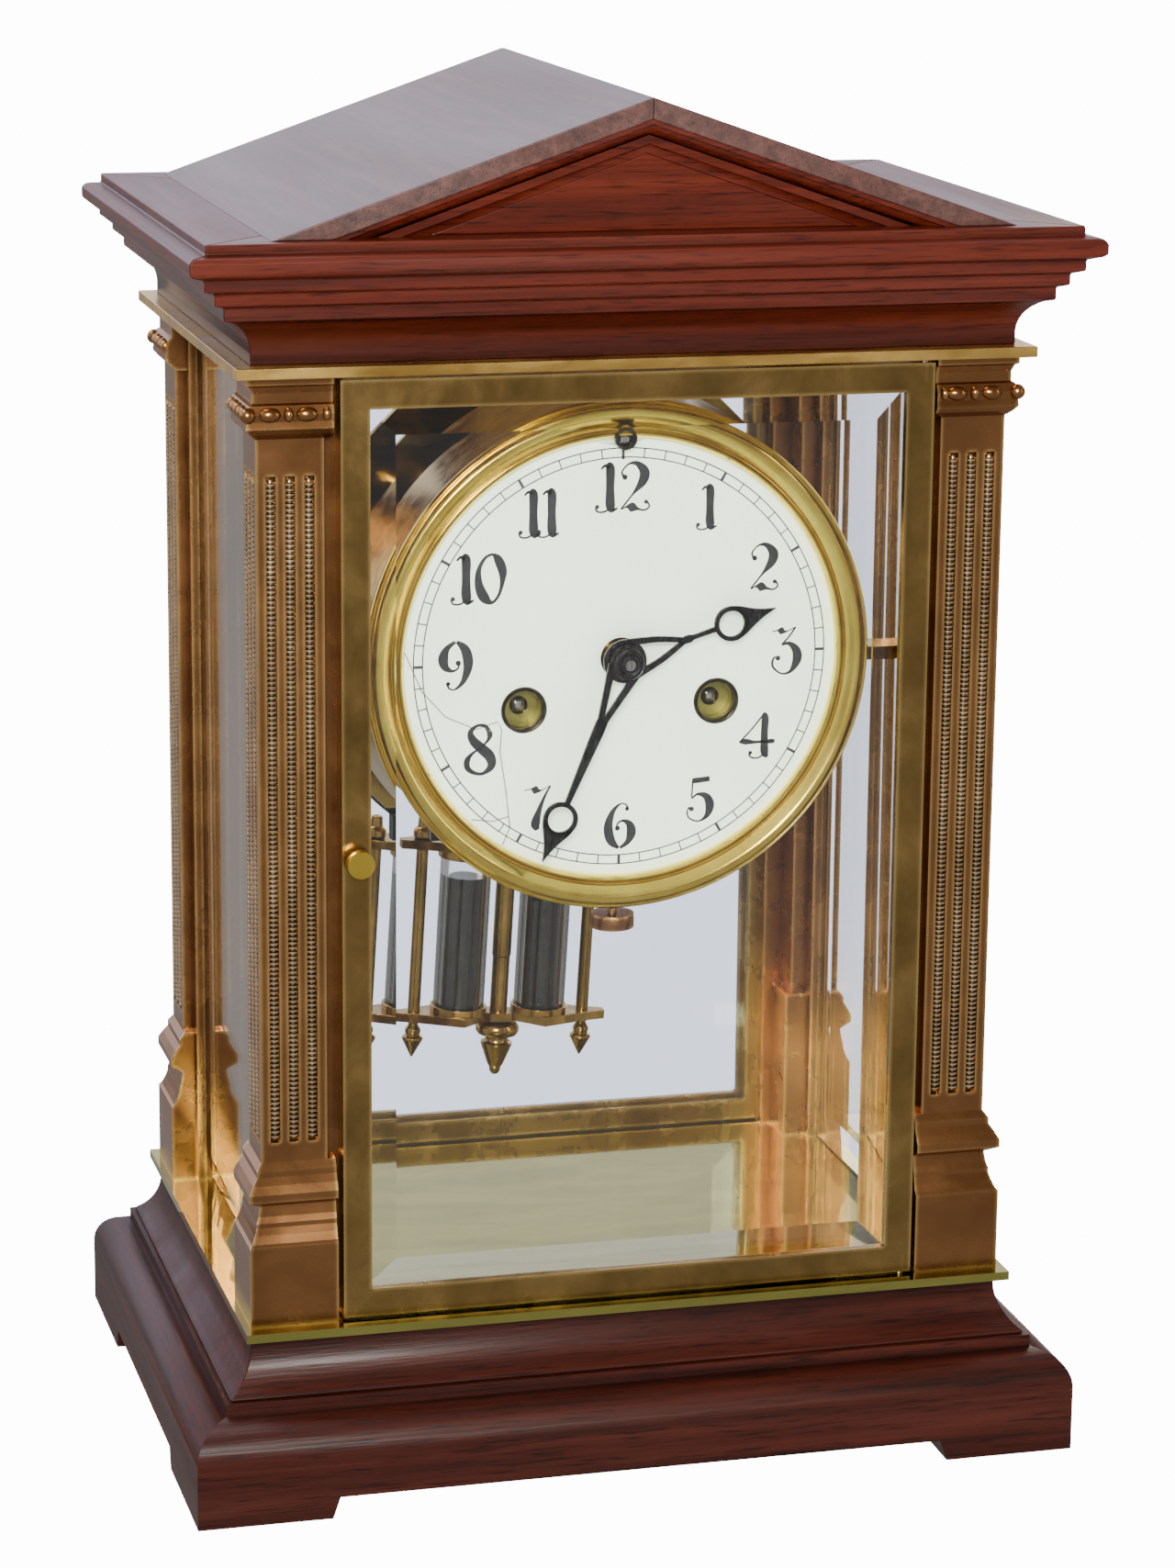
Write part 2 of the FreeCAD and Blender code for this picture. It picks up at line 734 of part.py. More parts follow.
def bevelled_pane(name, half_width, low, top, outward, face):
    """A plate of glass whose outer face is bevelled all round.

    face is how far the outer face stands from the middle of the clock.
    """
    thickness = "({pane_edge} + {pane_bevel})"
    wedge = doc.addObject("Part::Wedge", name + "_bevel")
    wedge.Ymin = 0
    wedge.setExpression("Ymax", bound("{pane_bevel}"))
    wedge.setExpression("Xmin", bound("-" + half_width))
    wedge.setExpression("Xmax", bound(half_width))
    wedge.setExpression("X2min", bound("-(" + half_width + " - {bevel_width})"))
    wedge.setExpression("X2max", bound(half_width + " - {bevel_width}"))
    wedge.setExpression("Zmin", bound(low))
    wedge.setExpression("Zmax", bound(top))
    wedge.setExpression("Z2min", bound(low + " + {bevel_width}"))
    wedge.setExpression("Z2max", bound(top + " - {bevel_width}"))
    slab = box(name + "_slab", ("-" + half_width, "-{pane_edge}", low),
               ("2 * " + half_width, "{pane_edge}", top + " - " + low))
    pane = fuse(name, [slab, wedge])
    turns = {"front": 180, "rear": 0, "left": 90, "right": -90}
    pane.Placement = Placement(Vector(), Rotation(Z_AXIS, turns[outward]))
    base = "(" + face + " - {pane_bevel})"
    axis = "x" if outward in ("left", "right") else "y"
    sign = "-" if outward in ("front", "left") else ""
    pane.setExpression("Placement.Base." + axis, bound(sign + base))
    return pane


def make_side_glasses():
    for side in ("left", "right"):
        pane = bevelled_pane(side + "_glass", "{side_glass_half}", "({floor_top} + 0.3)",
                             "({ceiling_low} - 0.3)", side, "{side_glass_outer}")
        keep(pane, side + "_glass")


def make_case_screws():
    """Eight screws: four up through the base board and four down from the top."""
    screws = []
    for index, (x, y) in enumerate(screw_places()):
        head = rod("low_head_%d" % index, (x, y, "{plinth_top} + 0.8"), "{case_screw_head}", "2.2", "z")
        shank = rod("low_shank_%d" % index, (x, y, "{plinth_top} + 1"), "{case_screw_radius}",
                    "{floor_top} - {plinth_top} + 10.8", "z")
        screws.append(fuse("low_screw_%d" % index, [head, shank]))
        head = rod("top_head_%d" % index, (x, y, "{ceiling_top} - 1.3"), "{case_screw_head}", "1.3", "z")
        shank = rod("top_shank_%d" % index, (x, y, "{ceiling_low} - 11.5"), "{case_screw_radius}",
                    "{ceiling_top} - {ceiling_low} + 11", "z")
        screws.append(fuse("top_screw_%d" % index, [head, shank]))
    keep(group("case_screws", screws), "case_screws")


# ---------------------------------------------------------------------------
# Doors
# ---------------------------------------------------------------------------

def turn_about(piece, degrees):
    """Turn a finished piece about the clock's upright middle line."""
    piece.Placement = Placement(Vector(), Rotation(Z_AXIS, degrees))


def rectangle(half_width, low, top):
    return [("-" + half_width, low), (half_width, low), (half_width, top), ("-" + half_width, top)]


def make_door(end, turn):
    """A brass frame with its bevelled glass, hinge pins and latch.

    Both doors are drawn at the front; the rear one is then turned round.
    """
    inner = "({door_half_width} - {door_rail})"
    rebate = "({door_half_width} - {door_rail} + {door_rebate})"
    low = "({door_low} + {door_rail})"
    top = "({door_top} - {door_rail})"

    body = new_body(end + "_door_body")
    outer = body_sketch(body, end + "_door_outer", "XZ_Plane",
                        rectangle("{door_half_width}", "{door_low}", "{door_top}"),
                        "{door_front} - {door_thickness}")
    pad = body.newObject("PartDesign::Pad", end + "_door_pad")
    pad.Profile = outer
    pad.setExpression("Length", bound("{door_thickness}"))
    body.Tip = pad
    doc.recompute()
    opening = body_sketch(body, end + "_door_opening", "XZ_Plane", rectangle(inner, low, top),
                          "{door_front} + 1")
    window = body.newObject("PartDesign::Pocket", end + "_door_window")
    window.Profile = opening
    window.setExpression("Length", bound("{door_thickness} + 2"))
    body.Tip = window
    doc.recompute()
    ledge = body_sketch(body, end + "_door_ledge", "XZ_Plane",
                        rectangle(rebate, low + " - {door_rebate}", top + " + {door_rebate}"),
                        "{door_front} - {door_face}")
    rebate_cut = body.newObject("PartDesign::Pocket", end + "_door_rebate")
    rebate_cut.Profile = ledge
    rebate_cut.setExpression("Length", bound("{door_thickness}"))
    body.Tip = rebate_cut
    doc.recompute()
    edge_name = None
    for index, edge in enumerate(rebate_cut.Shape.Edges, start=1):
        middle = edge.BoundBox.Center
        upright = edge.BoundBox.ZLength > dim("door_top") - dim("door_low") - 1
        at_back = abs(middle.y + dim("door_front") - dim("door_thickness")) < 0.01
        if upright and at_back and abs(middle.x - dim("door_half_width")) < 0.01:
            edge_name = "Edge%d" % index
    rounding = body.newObject("PartDesign::Fillet", end + "_door_rounding")
    rounding.Base = (rebate_cut, [edge_name])
    rounding.setExpression("Radius", bound("{door_corner}"))
    body.Tip = rounding

    hinge_x, hinge_y = hinge_places()[0]
    holes = [
        rod(end + "_pin_hole_low", (hinge_x, hinge_y, "{door_low} - 1"), "{hinge_pin_radius}", "5.4", "z"),
        rod(end + "_pin_hole_top", (hinge_x, hinge_y, "{door_top} - 4.4"), "{hinge_pin_radius}", "5.4", "z"),
        rod(end + "_latch_hole", ("-{latch_x}", "-{door_front} - 1", "{latch_height}"),
            "{latch_spindle} + {running_gap}", "{door_thickness} + 2"),
    ]
    frame = cut(end + "_door_frame", body, holes)

    pane = bevelled_pane(end + "_door_pane", "(%s - {glass_gap})" % rebate,
                         "(%s - {door_rebate} + {glass_gap})" % low,
                         "(%s + {door_rebate} - {glass_gap})" % top,
                         "front", "({door_front} - {door_face})")

    pins = group(end + "_hinge_pins", [
        rod(end + "_pin_low", (hinge_x, hinge_y, "{floor_low} + 0.2"), "{hinge_pin_radius}",
            "{door_low} + 4.2 - {floor_low}", "z"),
        rod(end + "_pin_top", (hinge_x, hinge_y, "{door_top} - 4.4"), "{hinge_pin_radius}",
            "{ceiling_top} - 0.2 - {door_top} + 4.4", "z"),
    ])

    x = "-{latch_x}"
    tongue_y = "-({post_outer_y} - {web_recess} - {web_thickness}) + 0.3"
    latch = fuse(end + "_latch", [
        rod(end + "_latch_spindle", (x, "-{door_front} - 3.6", "{latch_height}"), "{latch_spindle}",
            "{door_thickness} + 3.6 + 4.4"),
        rod(end + "_latch_neck", (x, "-{door_front} - 1.2", "{latch_height}"), "2.2", "1.1"),
        rod(end + "_latch_knob", (x, "-{door_front} - 4.2", "{latch_height}"), "{latch_knob}", "2.6"),
        box(end + "_latch_tongue", (x + " - {latch_tongue} / 2", tongue_y, "{latch_height} - 5.8"),
            ("{latch_tongue}", "1.4", "7.2")),
    ])

    for piece, label in ((frame, end + "_door_frame"), (pane, end + "_door_glass"),
                         (pins, end + "_hinge_pins"), (latch, end + "_latch")):
        if turn:
            piece.Label = label + "_drawn"
            whole = group(label + "_turned", [piece])
            turn_about(whole, turn)
            piece = whole
        keep(piece, label)


make_plinth()
make_base_board()
make_cornice()
make_roof()
make_gables()
make_plates()
make_posts()
make_side_glasses()
make_case_screws()
make_door("front", 0)
make_door("rear", 180)


# ---------------------------------------------------------------------------
# Movement: dial, bezel and sleeve
# ---------------------------------------------------------------------------

WINDING = (("-{winding_x}", "strike"), ("{winding_x}", "going"))
WINDING_HEIGHT = "({dial_height} - {winding_drop})"


def make_dial():
    """The porcelain disc with its centre hole, winding holes and regulator notch."""
    disc = rod("dial_disc", ("0", "{dial_front}", "{dial_height}"), "{dial_radius}", "{dial_thickness}")
    holes = [
        rod("dial_centre", ("0", "{dial_front} - 1", "{dial_height}"), "4.6", "{dial_thickness} + 2"),
        rod("dial_regulator", ("0", "{dial_front} - 1", "{dial_height} + {dial_radius} - 0.9"),
            "2.1", "{dial_thickness} + 2"),
    ]
    for x, side in WINDING:
        holes.append(rod("dial_" + side, (x, "{dial_front} - 1", WINDING_HEIGHT), "{winding_hole}",
                         "{dial_thickness} + 2"))
    keep(cut("dial", disc, holes), "dial")


def make_bezel():
    """A turned ring with a broad convex moulding, a bead and a lip over the dial."""
    outline = [
        ("{dial_radius} - 0.9", "0.1"),
        ("{bezel_radius} - 0.6", "0.1"),
        ("{bezel_radius}", "0.7"),
        ("{bezel_radius}", "2.0"),
        ("{bezel_radius} - 0.8", "2.7"),
        ("{bezel_radius} - 1.2", "2.7", "4.2", 1),
        ("{dial_radius} + 1.3", "3.4"),
        ("{dial_radius} + 0.8", "2.6"),
        ("{dial_radius} + 0.2", "2.4"),
        ("{dial_radius} - 0.3", "1.5"),
        ("{dial_radius} - 0.9", "0.9"),
    ]
    ring = turned("bezel_ring", outline)
    face_forward(ring, ("0", "{dial_front}", "{dial_height}"))
    notch = rod("bezel_notch", ("0", "{dial_front} - 1.6", "{dial_height} + {dial_radius} - 0.9"),
                "2.1", "1.6")
    keep(cut("bezel", ring, [notch]), "bezel")


def make_sleeve():
    """The brass tube behind the bezel; a flange inside it carries the dial."""
    depth = "({sleeve_rear} - {dial_front})"
    outline = [
        ("{sleeve_radius} - {sleeve_wall}", "-" + depth),
        ("{sleeve_radius}", "-" + depth),
        ("{sleeve_radius}", "-0.1"),
        ("{dial_radius} + 0.1", "-0.1"),
        ("{dial_radius} + 0.1", "-{dial_thickness} - 0.1"),
        ("{dial_radius} - 2", "-{dial_thickness} - 0.1"),
        ("{dial_radius} - 2", "-{dial_thickness} - 1.1"),
        ("{sleeve_radius} - {sleeve_wall}", "-{dial_thickness} - 1.1"),
    ]
    tube = turned("drum_tube", outline)
    face_forward(tube, ("0", "{dial_front}", "{dial_height}"))
    clamp = rod("drum_clamp_hole", ("0", "{dial_front} + 5", "{dial_height} - {sleeve_radius} - 2"),
                "1.05", "6", "z")
    regulator = rod("drum_regulator_hole", ("0", "{dial_front} - 1", "{dial_height} + {dial_radius} - 0.9"),
                    "1.5 + {running_gap}", "5")
    keep(cut("movement_drum", tube, [clamp, regulator]), "movement_drum")

    bracket_parts = []
    for side, sx in (("left", "-"), ("right", "")):
        shoe = signed_box("bracket_shoe_" + side, sx, "-",
                          ("{post_inner_x} - 0.4", "38"),
                          ("{post_outer_x} - {post_shaft}", "51"),
                          "{dial_height} - 14", "{dial_height} + 3")
        ear = signed_box("bracket_ear_" + side, sx, "-",
                         ("{sleeve_radius} - 0.5", "30"), ("{post_inner_x}", "38.5"),
                         "{dial_height} - 4.5", "{dial_height} - 1.5")
        bore = rod("bracket_bore_" + side, ("0", "-52", "{dial_height}"), "{sleeve_radius}", "30")
        bracket_parts.append(cut("bracket_" + side, fuse("bracket_solid_" + side, [shoe, ear]), [bore]))
    keep(group("movement_brackets", bracket_parts), "movement_brackets")

    screw_top = "{dial_height} - {sleeve_radius}"
    screw = fuse("drum_clamp_screw", [
        rod("clamp_pin", ("0", "{dial_front} + 5", screw_top + " - 5.4"), "1", "6.6", "z"),
        rod("clamp_disc", ("0", "{dial_front} + 5", screw_top + " - 8.4"), "4.9", "3.2", "z"),
    ])
    keep(screw, "drum_clamp_screw")


# ---------------------------------------------------------------------------
# Movement: plates, cock and gong
# ---------------------------------------------------------------------------

ARBORS = [
    # name, distance to the right of the middle, height above the dial centre
    ("centre", "0", "0"),
    ("going", "{winding_x}", "-{winding_drop}"),
    ("strike", "-{winding_x}", "-{winding_drop}"),
    ("third", "0", "18"),
    ("escape", "0", "{escape_height}"),
    ("anchor", "0", "{anchor_height}"),
    ("minute", "-10", "0"),
    ("hammer", "-26", "-30"),
]


def arbor_place(name):
    for found, x, z in ARBORS:
        if found == name:
            return (x, "{dial_height} + " + z)
    raise ValueError(name)


PILLARS = (("30", "30"), ("-30", "30"), ("22", "-40"), ("-22", "-40"))


def plate_blank(label, y):
    """The front plate is round, to fit the sleeve; the rear one is square with cut corners."""
    if label == "front_plate":
        return rod(label + "_disc", ("0", y, "{dial_height}"), "{sleeve_radius} - {sleeve_wall} - 0.05",
                   "{plate_thickness}")
    half, corner = "{rear_plate_half}", "{rear_plate_corner}"
    outline = [(half, "-" + corner), (half, corner), (corner, half), ("-" + corner, half),
               ("-" + half, corner), ("-" + half, "-" + corner), ("-" + corner, "-" + half),
               (corner, "-" + half)]
    return prism(label + "_sheet", outline, X_AXIS, Z_AXIS, ("0", y, "{dial_height}"), Y_AXIS,
                 "{plate_thickness}")


def make_plates_of_movement():
    bores_front = {"centre": "2.0", "going": "2.3", "strike": "2.3"}
    for label, y in (("front_plate", "{front_plate_y}"), ("rear_plate", "{rear_plate_y}")):
        solid = plate_blank(label, y)
        if label == "front_plate":
            pillars = [
                rod("pillar_%d" % index, (x, y + " + 1", "{dial_height} + " + z), "{pillar_radius}",
                    "{rear_plate_y} - {front_plate_y} - 1")
                for index, (x, z) in enumerate(PILLARS)
            ]
            solid = fuse(label + "_solid", [solid] + pillars)
        holes = []
        for name, x, z in ARBORS:
            if name == "minute" and label == "rear_plate":
                continue
            size = "({pivot_radius} + {running_gap})"
            if label == "front_plate" and name in bores_front:
                size = "(" + bores_front[name] + " + {running_gap})"
            if name == "anchor" and label == "rear_plate":
                size = "2.4"
            holes.append(rod("%s_%s" % (label, name), (x, y + " - 1", "{dial_height} + " + z), size,
                             "{plate_thickness} + 2"))
        keep(cut(label, solid, holes), label)

    anchor_x, anchor_z = arbor_place("anchor")
    back = "{rear_plate_y} + {plate_thickness}"
    cock = fuse("suspension_cock_solid", [
        box("cock_left", ("-9", back, anchor_z + " - 4"), ("4", "13.6", "8")),
        box("cock_right", ("5", back, anchor_z + " - 4"), ("4", "13.6", "8")),
        box("cock_bridge", ("-9", back + " + 12", anchor_z + " - 4"), ("18", "2.4", "8")),
        rod("cock_pin", ("0", back + " + 14", anchor_z), "1.5", "{pendulum_y} + 4 - (%s + 14)" % back),
    ])
    bore = rod("cock_bore", (anchor_x, back + " + 11", anchor_z), "{pivot_radius} + {running_gap}", "5")
    keep(cut("suspension_cock", cock, [bore]), "suspension_cock")


def make_gong():
    """A flat spiral of steel wire, its end in a block hung from the rear plate."""
    turns = 3
    pitch = 4.4
    outer = dim("gong_radius")
    points = []
    steps = 24 * turns
    for index in range(steps + 1):
        angle = -math.pi / 2 + 2 * math.pi * index / 24.0
        radius = outer - pitch * index / 24.0
        points.append(Vector(radius * math.cos(angle), 0, radius * math.sin(angle)))
    curve = Part.BSplineCurve()
    curve.interpolate(points)
    path = Part.Wire([curve.toShape()])
    tangent = curve.tangent(curve.FirstParameter)[0]
    ring = Part.Wire([Part.Circle(points[0], tangent, dim("gong_wire")).toShape()])
    coil = doc.addObject("Part::Feature", "gong_coil")
    coil.Shape = path.makePipeShell([ring], True, True)
    bind_place(coil, ("0", "{gong_y}", "{dial_height} - {gong_drop}"))
    back = "{rear_plate_y} + {plate_thickness}"
    wire_end = "{dial_height} - {gong_drop} - {gong_radius}"
    holder = fuse("gong_holder", [
        box("gong_strap", ("-6", back, wire_end + " - 7"), ("12", "2.4", "31")),
        box("gong_block", ("-5", back, wire_end + " - 7"), ("10", "{gong_y} + 3 - (%s)" % back, "10")),
    ])
    keep(fuse("gong", [coil, holder]), "gong")


# ---------------------------------------------------------------------------
# Movement: wheels, arbors and hands
# ---------------------------------------------------------------------------

def gear_points(teeth, module, phase, tip=0.6, root=1.0, share=0.36):
    """The outline of a clock wheel: narrow trapezoid teeth round a circle."""
    pitch = teeth * module / 2.0
    step = 2 * math.pi / teeth
    half = step * share / 2.0
    points = []
    for index in range(teeth):
        middle = phase + step * index
        for radius, offset in ((pitch - root * module, -half * 1.25), (pitch + tip * module, -half * 0.55),
                               (pitch + tip * module, half * 0.55), (pitch - root * module, half * 1.25)):
            points.append((radius * math.cos(middle + offset), radius * math.sin(middle + offset)))
    return points


def wheel(name, place, y, thickness, teeth, module, phase_degrees, tip=0.6, root=1.0):
    """A toothed disc that faces -Y; the phase is the angle of a tooth from +X to +Z."""
    outline = gear_points(teeth, module, math.radians(phase_degrees), tip, root)
    wire = Part.makePolygon([Vector(px, 0, pz) for px, pz in outline + outline[:1]])
    piece = doc.addObject("Part::Feature", name)
    piece.Shape = Part.Face(wire).extrude(Vector(0, thickness, 0))
    bind_place(piece, (place[0], y, place[1]))
    return piece


def make_motion_work():
    """Centre arbor with its cannon pinion, minute wheel and hour wheel."""
    centre = arbor_place("centre")
    minute = arbor_place("minute")
    arbor = fuse("centre_arbor", [
        rod("centre_shaft", (centre[0], "{dial_front} - 8.4", centre[1]), "{arbor_radius}",
            "{rear_plate_y} - {dial_front} + 8.4 - 1"),
        rod("centre_pivot", (centre[0], "{rear_plate_y} - 1.5", centre[1]), "{pivot_radius}",
            "{plate_thickness} + 1.5"),
        rod("centre_bearing", (centre[0], "{front_plate_y}", centre[1]), "2.0", "{plate_thickness}"),
        wheel("cannon_pinion", centre, "{front_plate_y} - 2.6", 2.2, 10, 0.5, 0.0, 0.6, 0.9),
        wheel("centre_pinion", centre, "-27.5", 9.0, 8, 24.58 * 2 / 104, -3.44, 0.6, 0.9),
        wheel("centre_wheel", centre, "-5", 1.4, 88, 0.375, 0.0),
    ])
    keep(arbor, "centre_arbor")

    carrier = fuse("minute_solid", [
        wheel("minute_disc", minute, "{front_plate_y} - 2.2", 1.4, 30, 0.5, 6.0),
        wheel("minute_pinion", minute, "{front_plate_y} - 5.6", 3.6, 10, 0.4, 0.0, 0.6, 0.9),
        rod("minute_stud", (minute[0], "{front_plate_y} - 6", minute[1]), "{pivot_radius}",
            "6 + {plate_thickness}"),
    ])
    keep(carrier, "minute_wheel")

    hour = fuse("hour_solid", [
        wheel("hour_disc", centre, "{front_plate_y} - 5.2", 1.4, 40, 0.4, 4.5),
        rod("hour_pipe", (centre[0], "{dial_front} - 4.0", centre[1]), "2.6",
            "{front_plate_y} - {dial_front} - 5.2 + 4.6"),
    ])
    bore = rod("hour_bore", (centre[0], "{dial_front} - 20", centre[1]), "{arbor_radius} + {running_gap}",
               "30")
    keep(cut("hour_wheel", hour, [bore]), "hour_wheel")


def make_going_train():
    third = arbor_place("third")
    escape = arbor_place("escape")
    pivots = "{rear_plate_y} - {front_plate_y} + {plate_thickness}"
    third_piece = fuse("third_wheel", [
        rod("third_shaft", (third[0], "{front_plate_y} + 2", third[1]), "{arbor_radius}",
            "{rear_plate_y} - {front_plate_y} - 2.4"),
        rod("third_pivots", (third[0], "{front_plate_y}", third[1]), "{pivot_radius}", pivots),
        wheel("third_pinion", third, "-6.5", 4.5, 8, 0.375, 270.0 + 22.5, 0.6, 0.9),
        wheel("third_disc", third, "2", 1.4, 60, 23.0 / 68, 90.0),
    ])
    keep(third_piece, "third_wheel")
    points = []
    teeth = 30
    radius = dim("escape_radius")
    for index in range(teeth):
        angle = 2 * math.pi * index / teeth
        for size, shift in ((radius - 1.6, -0.09), (radius, 0.0), (radius, 0.02), (radius - 1.6, 0.06)):
            points.append((size * math.cos(angle + shift), size * math.sin(angle + shift)))
    wire = Part.makePolygon([Vector(px, 0, pz) for px, pz in points + points[:1]])
    disc = doc.addObject("Part::Feature", "escape_disc")
    disc.Shape = Part.Face(wire).extrude(Vector(0, 1.0, 0))
    bind_place(disc, (escape[0], "-12", escape[1]))
    escape_piece = fuse("escape_wheel", [
        rod("escape_shaft", (escape[0], "{front_plate_y} + 2", escape[1]), "{arbor_radius} - 0.2",
            "{rear_plate_y} - {front_plate_y} - 2.4"),
        rod("escape_pivots", (escape[0], "{front_plate_y}", escape[1]), "{pivot_radius}", pivots),
        wheel("escape_pinion", escape, "0.5", 4.0, 8, 23.0 / 68, 270.0 + 22.5, 0.6, 0.9),
        disc,
    ])
    keep(escape_piece, "escape_wheel")


def make_barrels():
    """Two spring barrels with great wheels, and the square arbors that wind them."""
    for x, side in WINDING:
        place = arbor_place(side)
        barrel = [rod(side + "_drum", (place[0], "{barrel_front}", place[1]), "{barrel_radius}",
                      "{barrel_rear} - {barrel_front}")]
        if side == "going":
            barrel.append(wheel("going_great_wheel", place, "-26.5", 1.8, 96, 24.58 * 2 / 104, 154.06))
        else:
            barrel.append(wheel("strike_great_wheel", place, "-13.5", 1.8, 80, 0.44, 0.0))
        solid = fuse(side + "_barrel_solid", barrel)
        bore = rod(side + "_barrel_bore", (place[0], "{barrel_front} - 2", place[1]),
                   "2.3 + {running_gap}", "{barrel_rear} - {barrel_front} + 4")
        keep(cut(side + "_barrel", solid, [bore]), side + "_barrel")
        square = "1.5"
        arbor = fuse(side + "_winding_arbor", [
            rod(side + "_shaft", (place[0], "{front_plate_y}", place[1]), "2.3",
                "{barrel_rear} - {front_plate_y} + 1"),
            rod(side + "_tail", (place[0], "{barrel_rear}", place[1]), "{pivot_radius}",
                "{rear_plate_y} - {barrel_rear} + {plate_thickness}"),
            box(side + "_square",
                (place[0] + " - " + square, "{dial_front} + 5.5", place[1] + " - " + square),
                ("2 * " + square, "{front_plate_y} - {dial_front} - 4.5", "2 * " + square)),
        ])
        keep(arbor, side + "_winding_arbor")


def tilt_with_pendulum(piece, label):
    """Swing a pendulum piece about the anchor's line to its stored rest."""
    whole = group(label + "_hung", [piece])
    pivot = Vector(0, 0, number("{dial_height} + {anchor_height}"))
    turn = Rotation(Y_AXIS, dim("pendulum_tilt"))
    whole.Placement = Placement(pivot - turn.multVec(pivot), turn)
    keep(whole, label)


def make_escapement_and_strike():
    anchor = arbor_place("anchor")
    shaft = "{front_plate_y}"
    back = "({rear_plate_y} + {plate_thickness} + 14.4)"
    pallets = [
        ("-9.6", "2.4"),
        ("9.6", "2.4"),
        ("8.6", "-4.4"),
        ("7.4", "-4.4"),
        ("7.0", "-0.6"),
        ("-7.0", "-0.6"),
        ("-7.4", "-4.4"),
        ("-8.6", "-4.4"),
    ]
    bow = prism("anchor_bow", pallets, X_AXIS, Z_AXIS, (anchor[0], "-12.4", anchor[1]), Y_AXIS, "1.8")
    piece = fuse("anchor_solid", [
        rod("anchor_shaft", (anchor[0], shaft, anchor[1]), "{pivot_radius}",
            back + " - {front_plate_y}"),
        rod("anchor_body", (anchor[0], "{front_plate_y} + 2", anchor[1]), "1.6",
            "{rear_plate_y} - {front_plate_y} - 1"),
        bow,
        box("crutch_arm", ("-0.8", "{rear_plate_y} + {plate_thickness} + 3", anchor[1] + " - 20"),
            ("1.6", "1.4", "20")),
    ])
    tilt_with_pendulum(piece, "anchor")

    hammer = arbor_place("hammer")
    hammer_piece = fuse("hammer", [
        rod("hammer_shaft", (hammer[0], "{front_plate_y}", hammer[1]), "{pivot_radius}",
            "{gong_y} - {front_plate_y} + 1.2"),
        rod("hammer_body", (hammer[0], "{front_plate_y} + 2", hammer[1]), "1.4",
            "{rear_plate_y} - {front_plate_y} - 3"),
        box("hammer_arm", (hammer[0] + " - 0.8", "{gong_y} - 4", hammer[1] + " - 22"), ("1.6", "1.6", "22")),
        box("hammer_head", (hammer[0] + " - 3", "{gong_y} - 4.4", hammer[1] + " - 26"), ("6", "3.0", "6")),
    ])
    keep(hammer_piece, "hammer")

    top = ("0", "{dial_height} + {dial_radius} - 0.9")
    keep(fuse("regulator_arbor", [
        rod("regulator_shaft", (top[0], "{dial_front} + 0.1", top[1]), "1.5", "{dial_thickness} + 5"),
        box("regulator_square", ("-0.9", "{dial_front} - 1.2", top[1] + " - 0.9"), ("1.8", "1.6", "1.8")),
    ]), "regulator_arbor")


def hand_outline(ring, tip, merge, half_base):
    """The two sides of a hand that swell towards the pierced circle."""
    return [
        ("-" + half_base, "0"),
        (half_base, "0"),
        ("0.75", merge),
        ("0.75", ring),
        ("0.5", ring),
        ("0", tip),
        ("-0.5", ring),
        ("-0.75", ring),
        ("-0.75", merge),
    ]


def make_hands():
    """Steel hands with a pierced circle near the tip."""
    specs = (
        ("hour_hand", "{hour_angle}", "{dial_front} - 3.9", "25.5", "{hour_hand_length}", "12", "3.4",
         "2.2", "4.4", "2.6"),
        ("minute_hand", "{minute_angle}", "{dial_front} - 5.8", "38", "{minute_hand_length}", "13.4", "3.9",
         "2.7", "3.8", "{arbor_radius}"),
    )
    for label, angle, y, ring, tip, merge, outer, hole, hub, bore in specs:
        blade = prism(label + "_blade", hand_outline(ring, tip, merge, "1.9"), X_AXIS, Z_AXIS,
                      ("0", "0", "0"), Y_AXIS, "0.8")
        solid = fuse(label + "_solid", [
            blade,
            rod(label + "_ring", ("0", "0", ring), outer, "0.8"),
            rod(label + "_hub", ("0", "0", "0"), hub, "0.8"),
        ])
        piece = cut(label + "_cut", solid, [
            rod(label + "_eye", ("0", "-1", ring), hole, "3"),
            rod(label + "_bore", ("0", "-1", "0"), bore, "3"),
        ])
        whole = group(label + "_set", [piece])
        whole.setExpression("Placement.Rotation.Angle", bound(angle))
        whole.Placement = Placement(Vector(), Rotation(Y_AXIS, number(angle)))
        bind_place(whole, ("0", y, "{dial_height}"))
        keep(whole, label)
    nut = turned("hand_nut_body", [
        ("{arbor_radius}", "0"),
        ("3.7", "0"),
        ("3.7", "1.0"),
        ("2.4", "2.0"),
        ("{arbor_radius}", "2.2"),
    ])
    face_forward(nut, ("0", "{dial_front} - 5.85", "{dial_height}"))
    keep(nut, "hand_nut")


# ---------------------------------------------------------------------------
# Pendulum
# ---------------------------------------------------------------------------

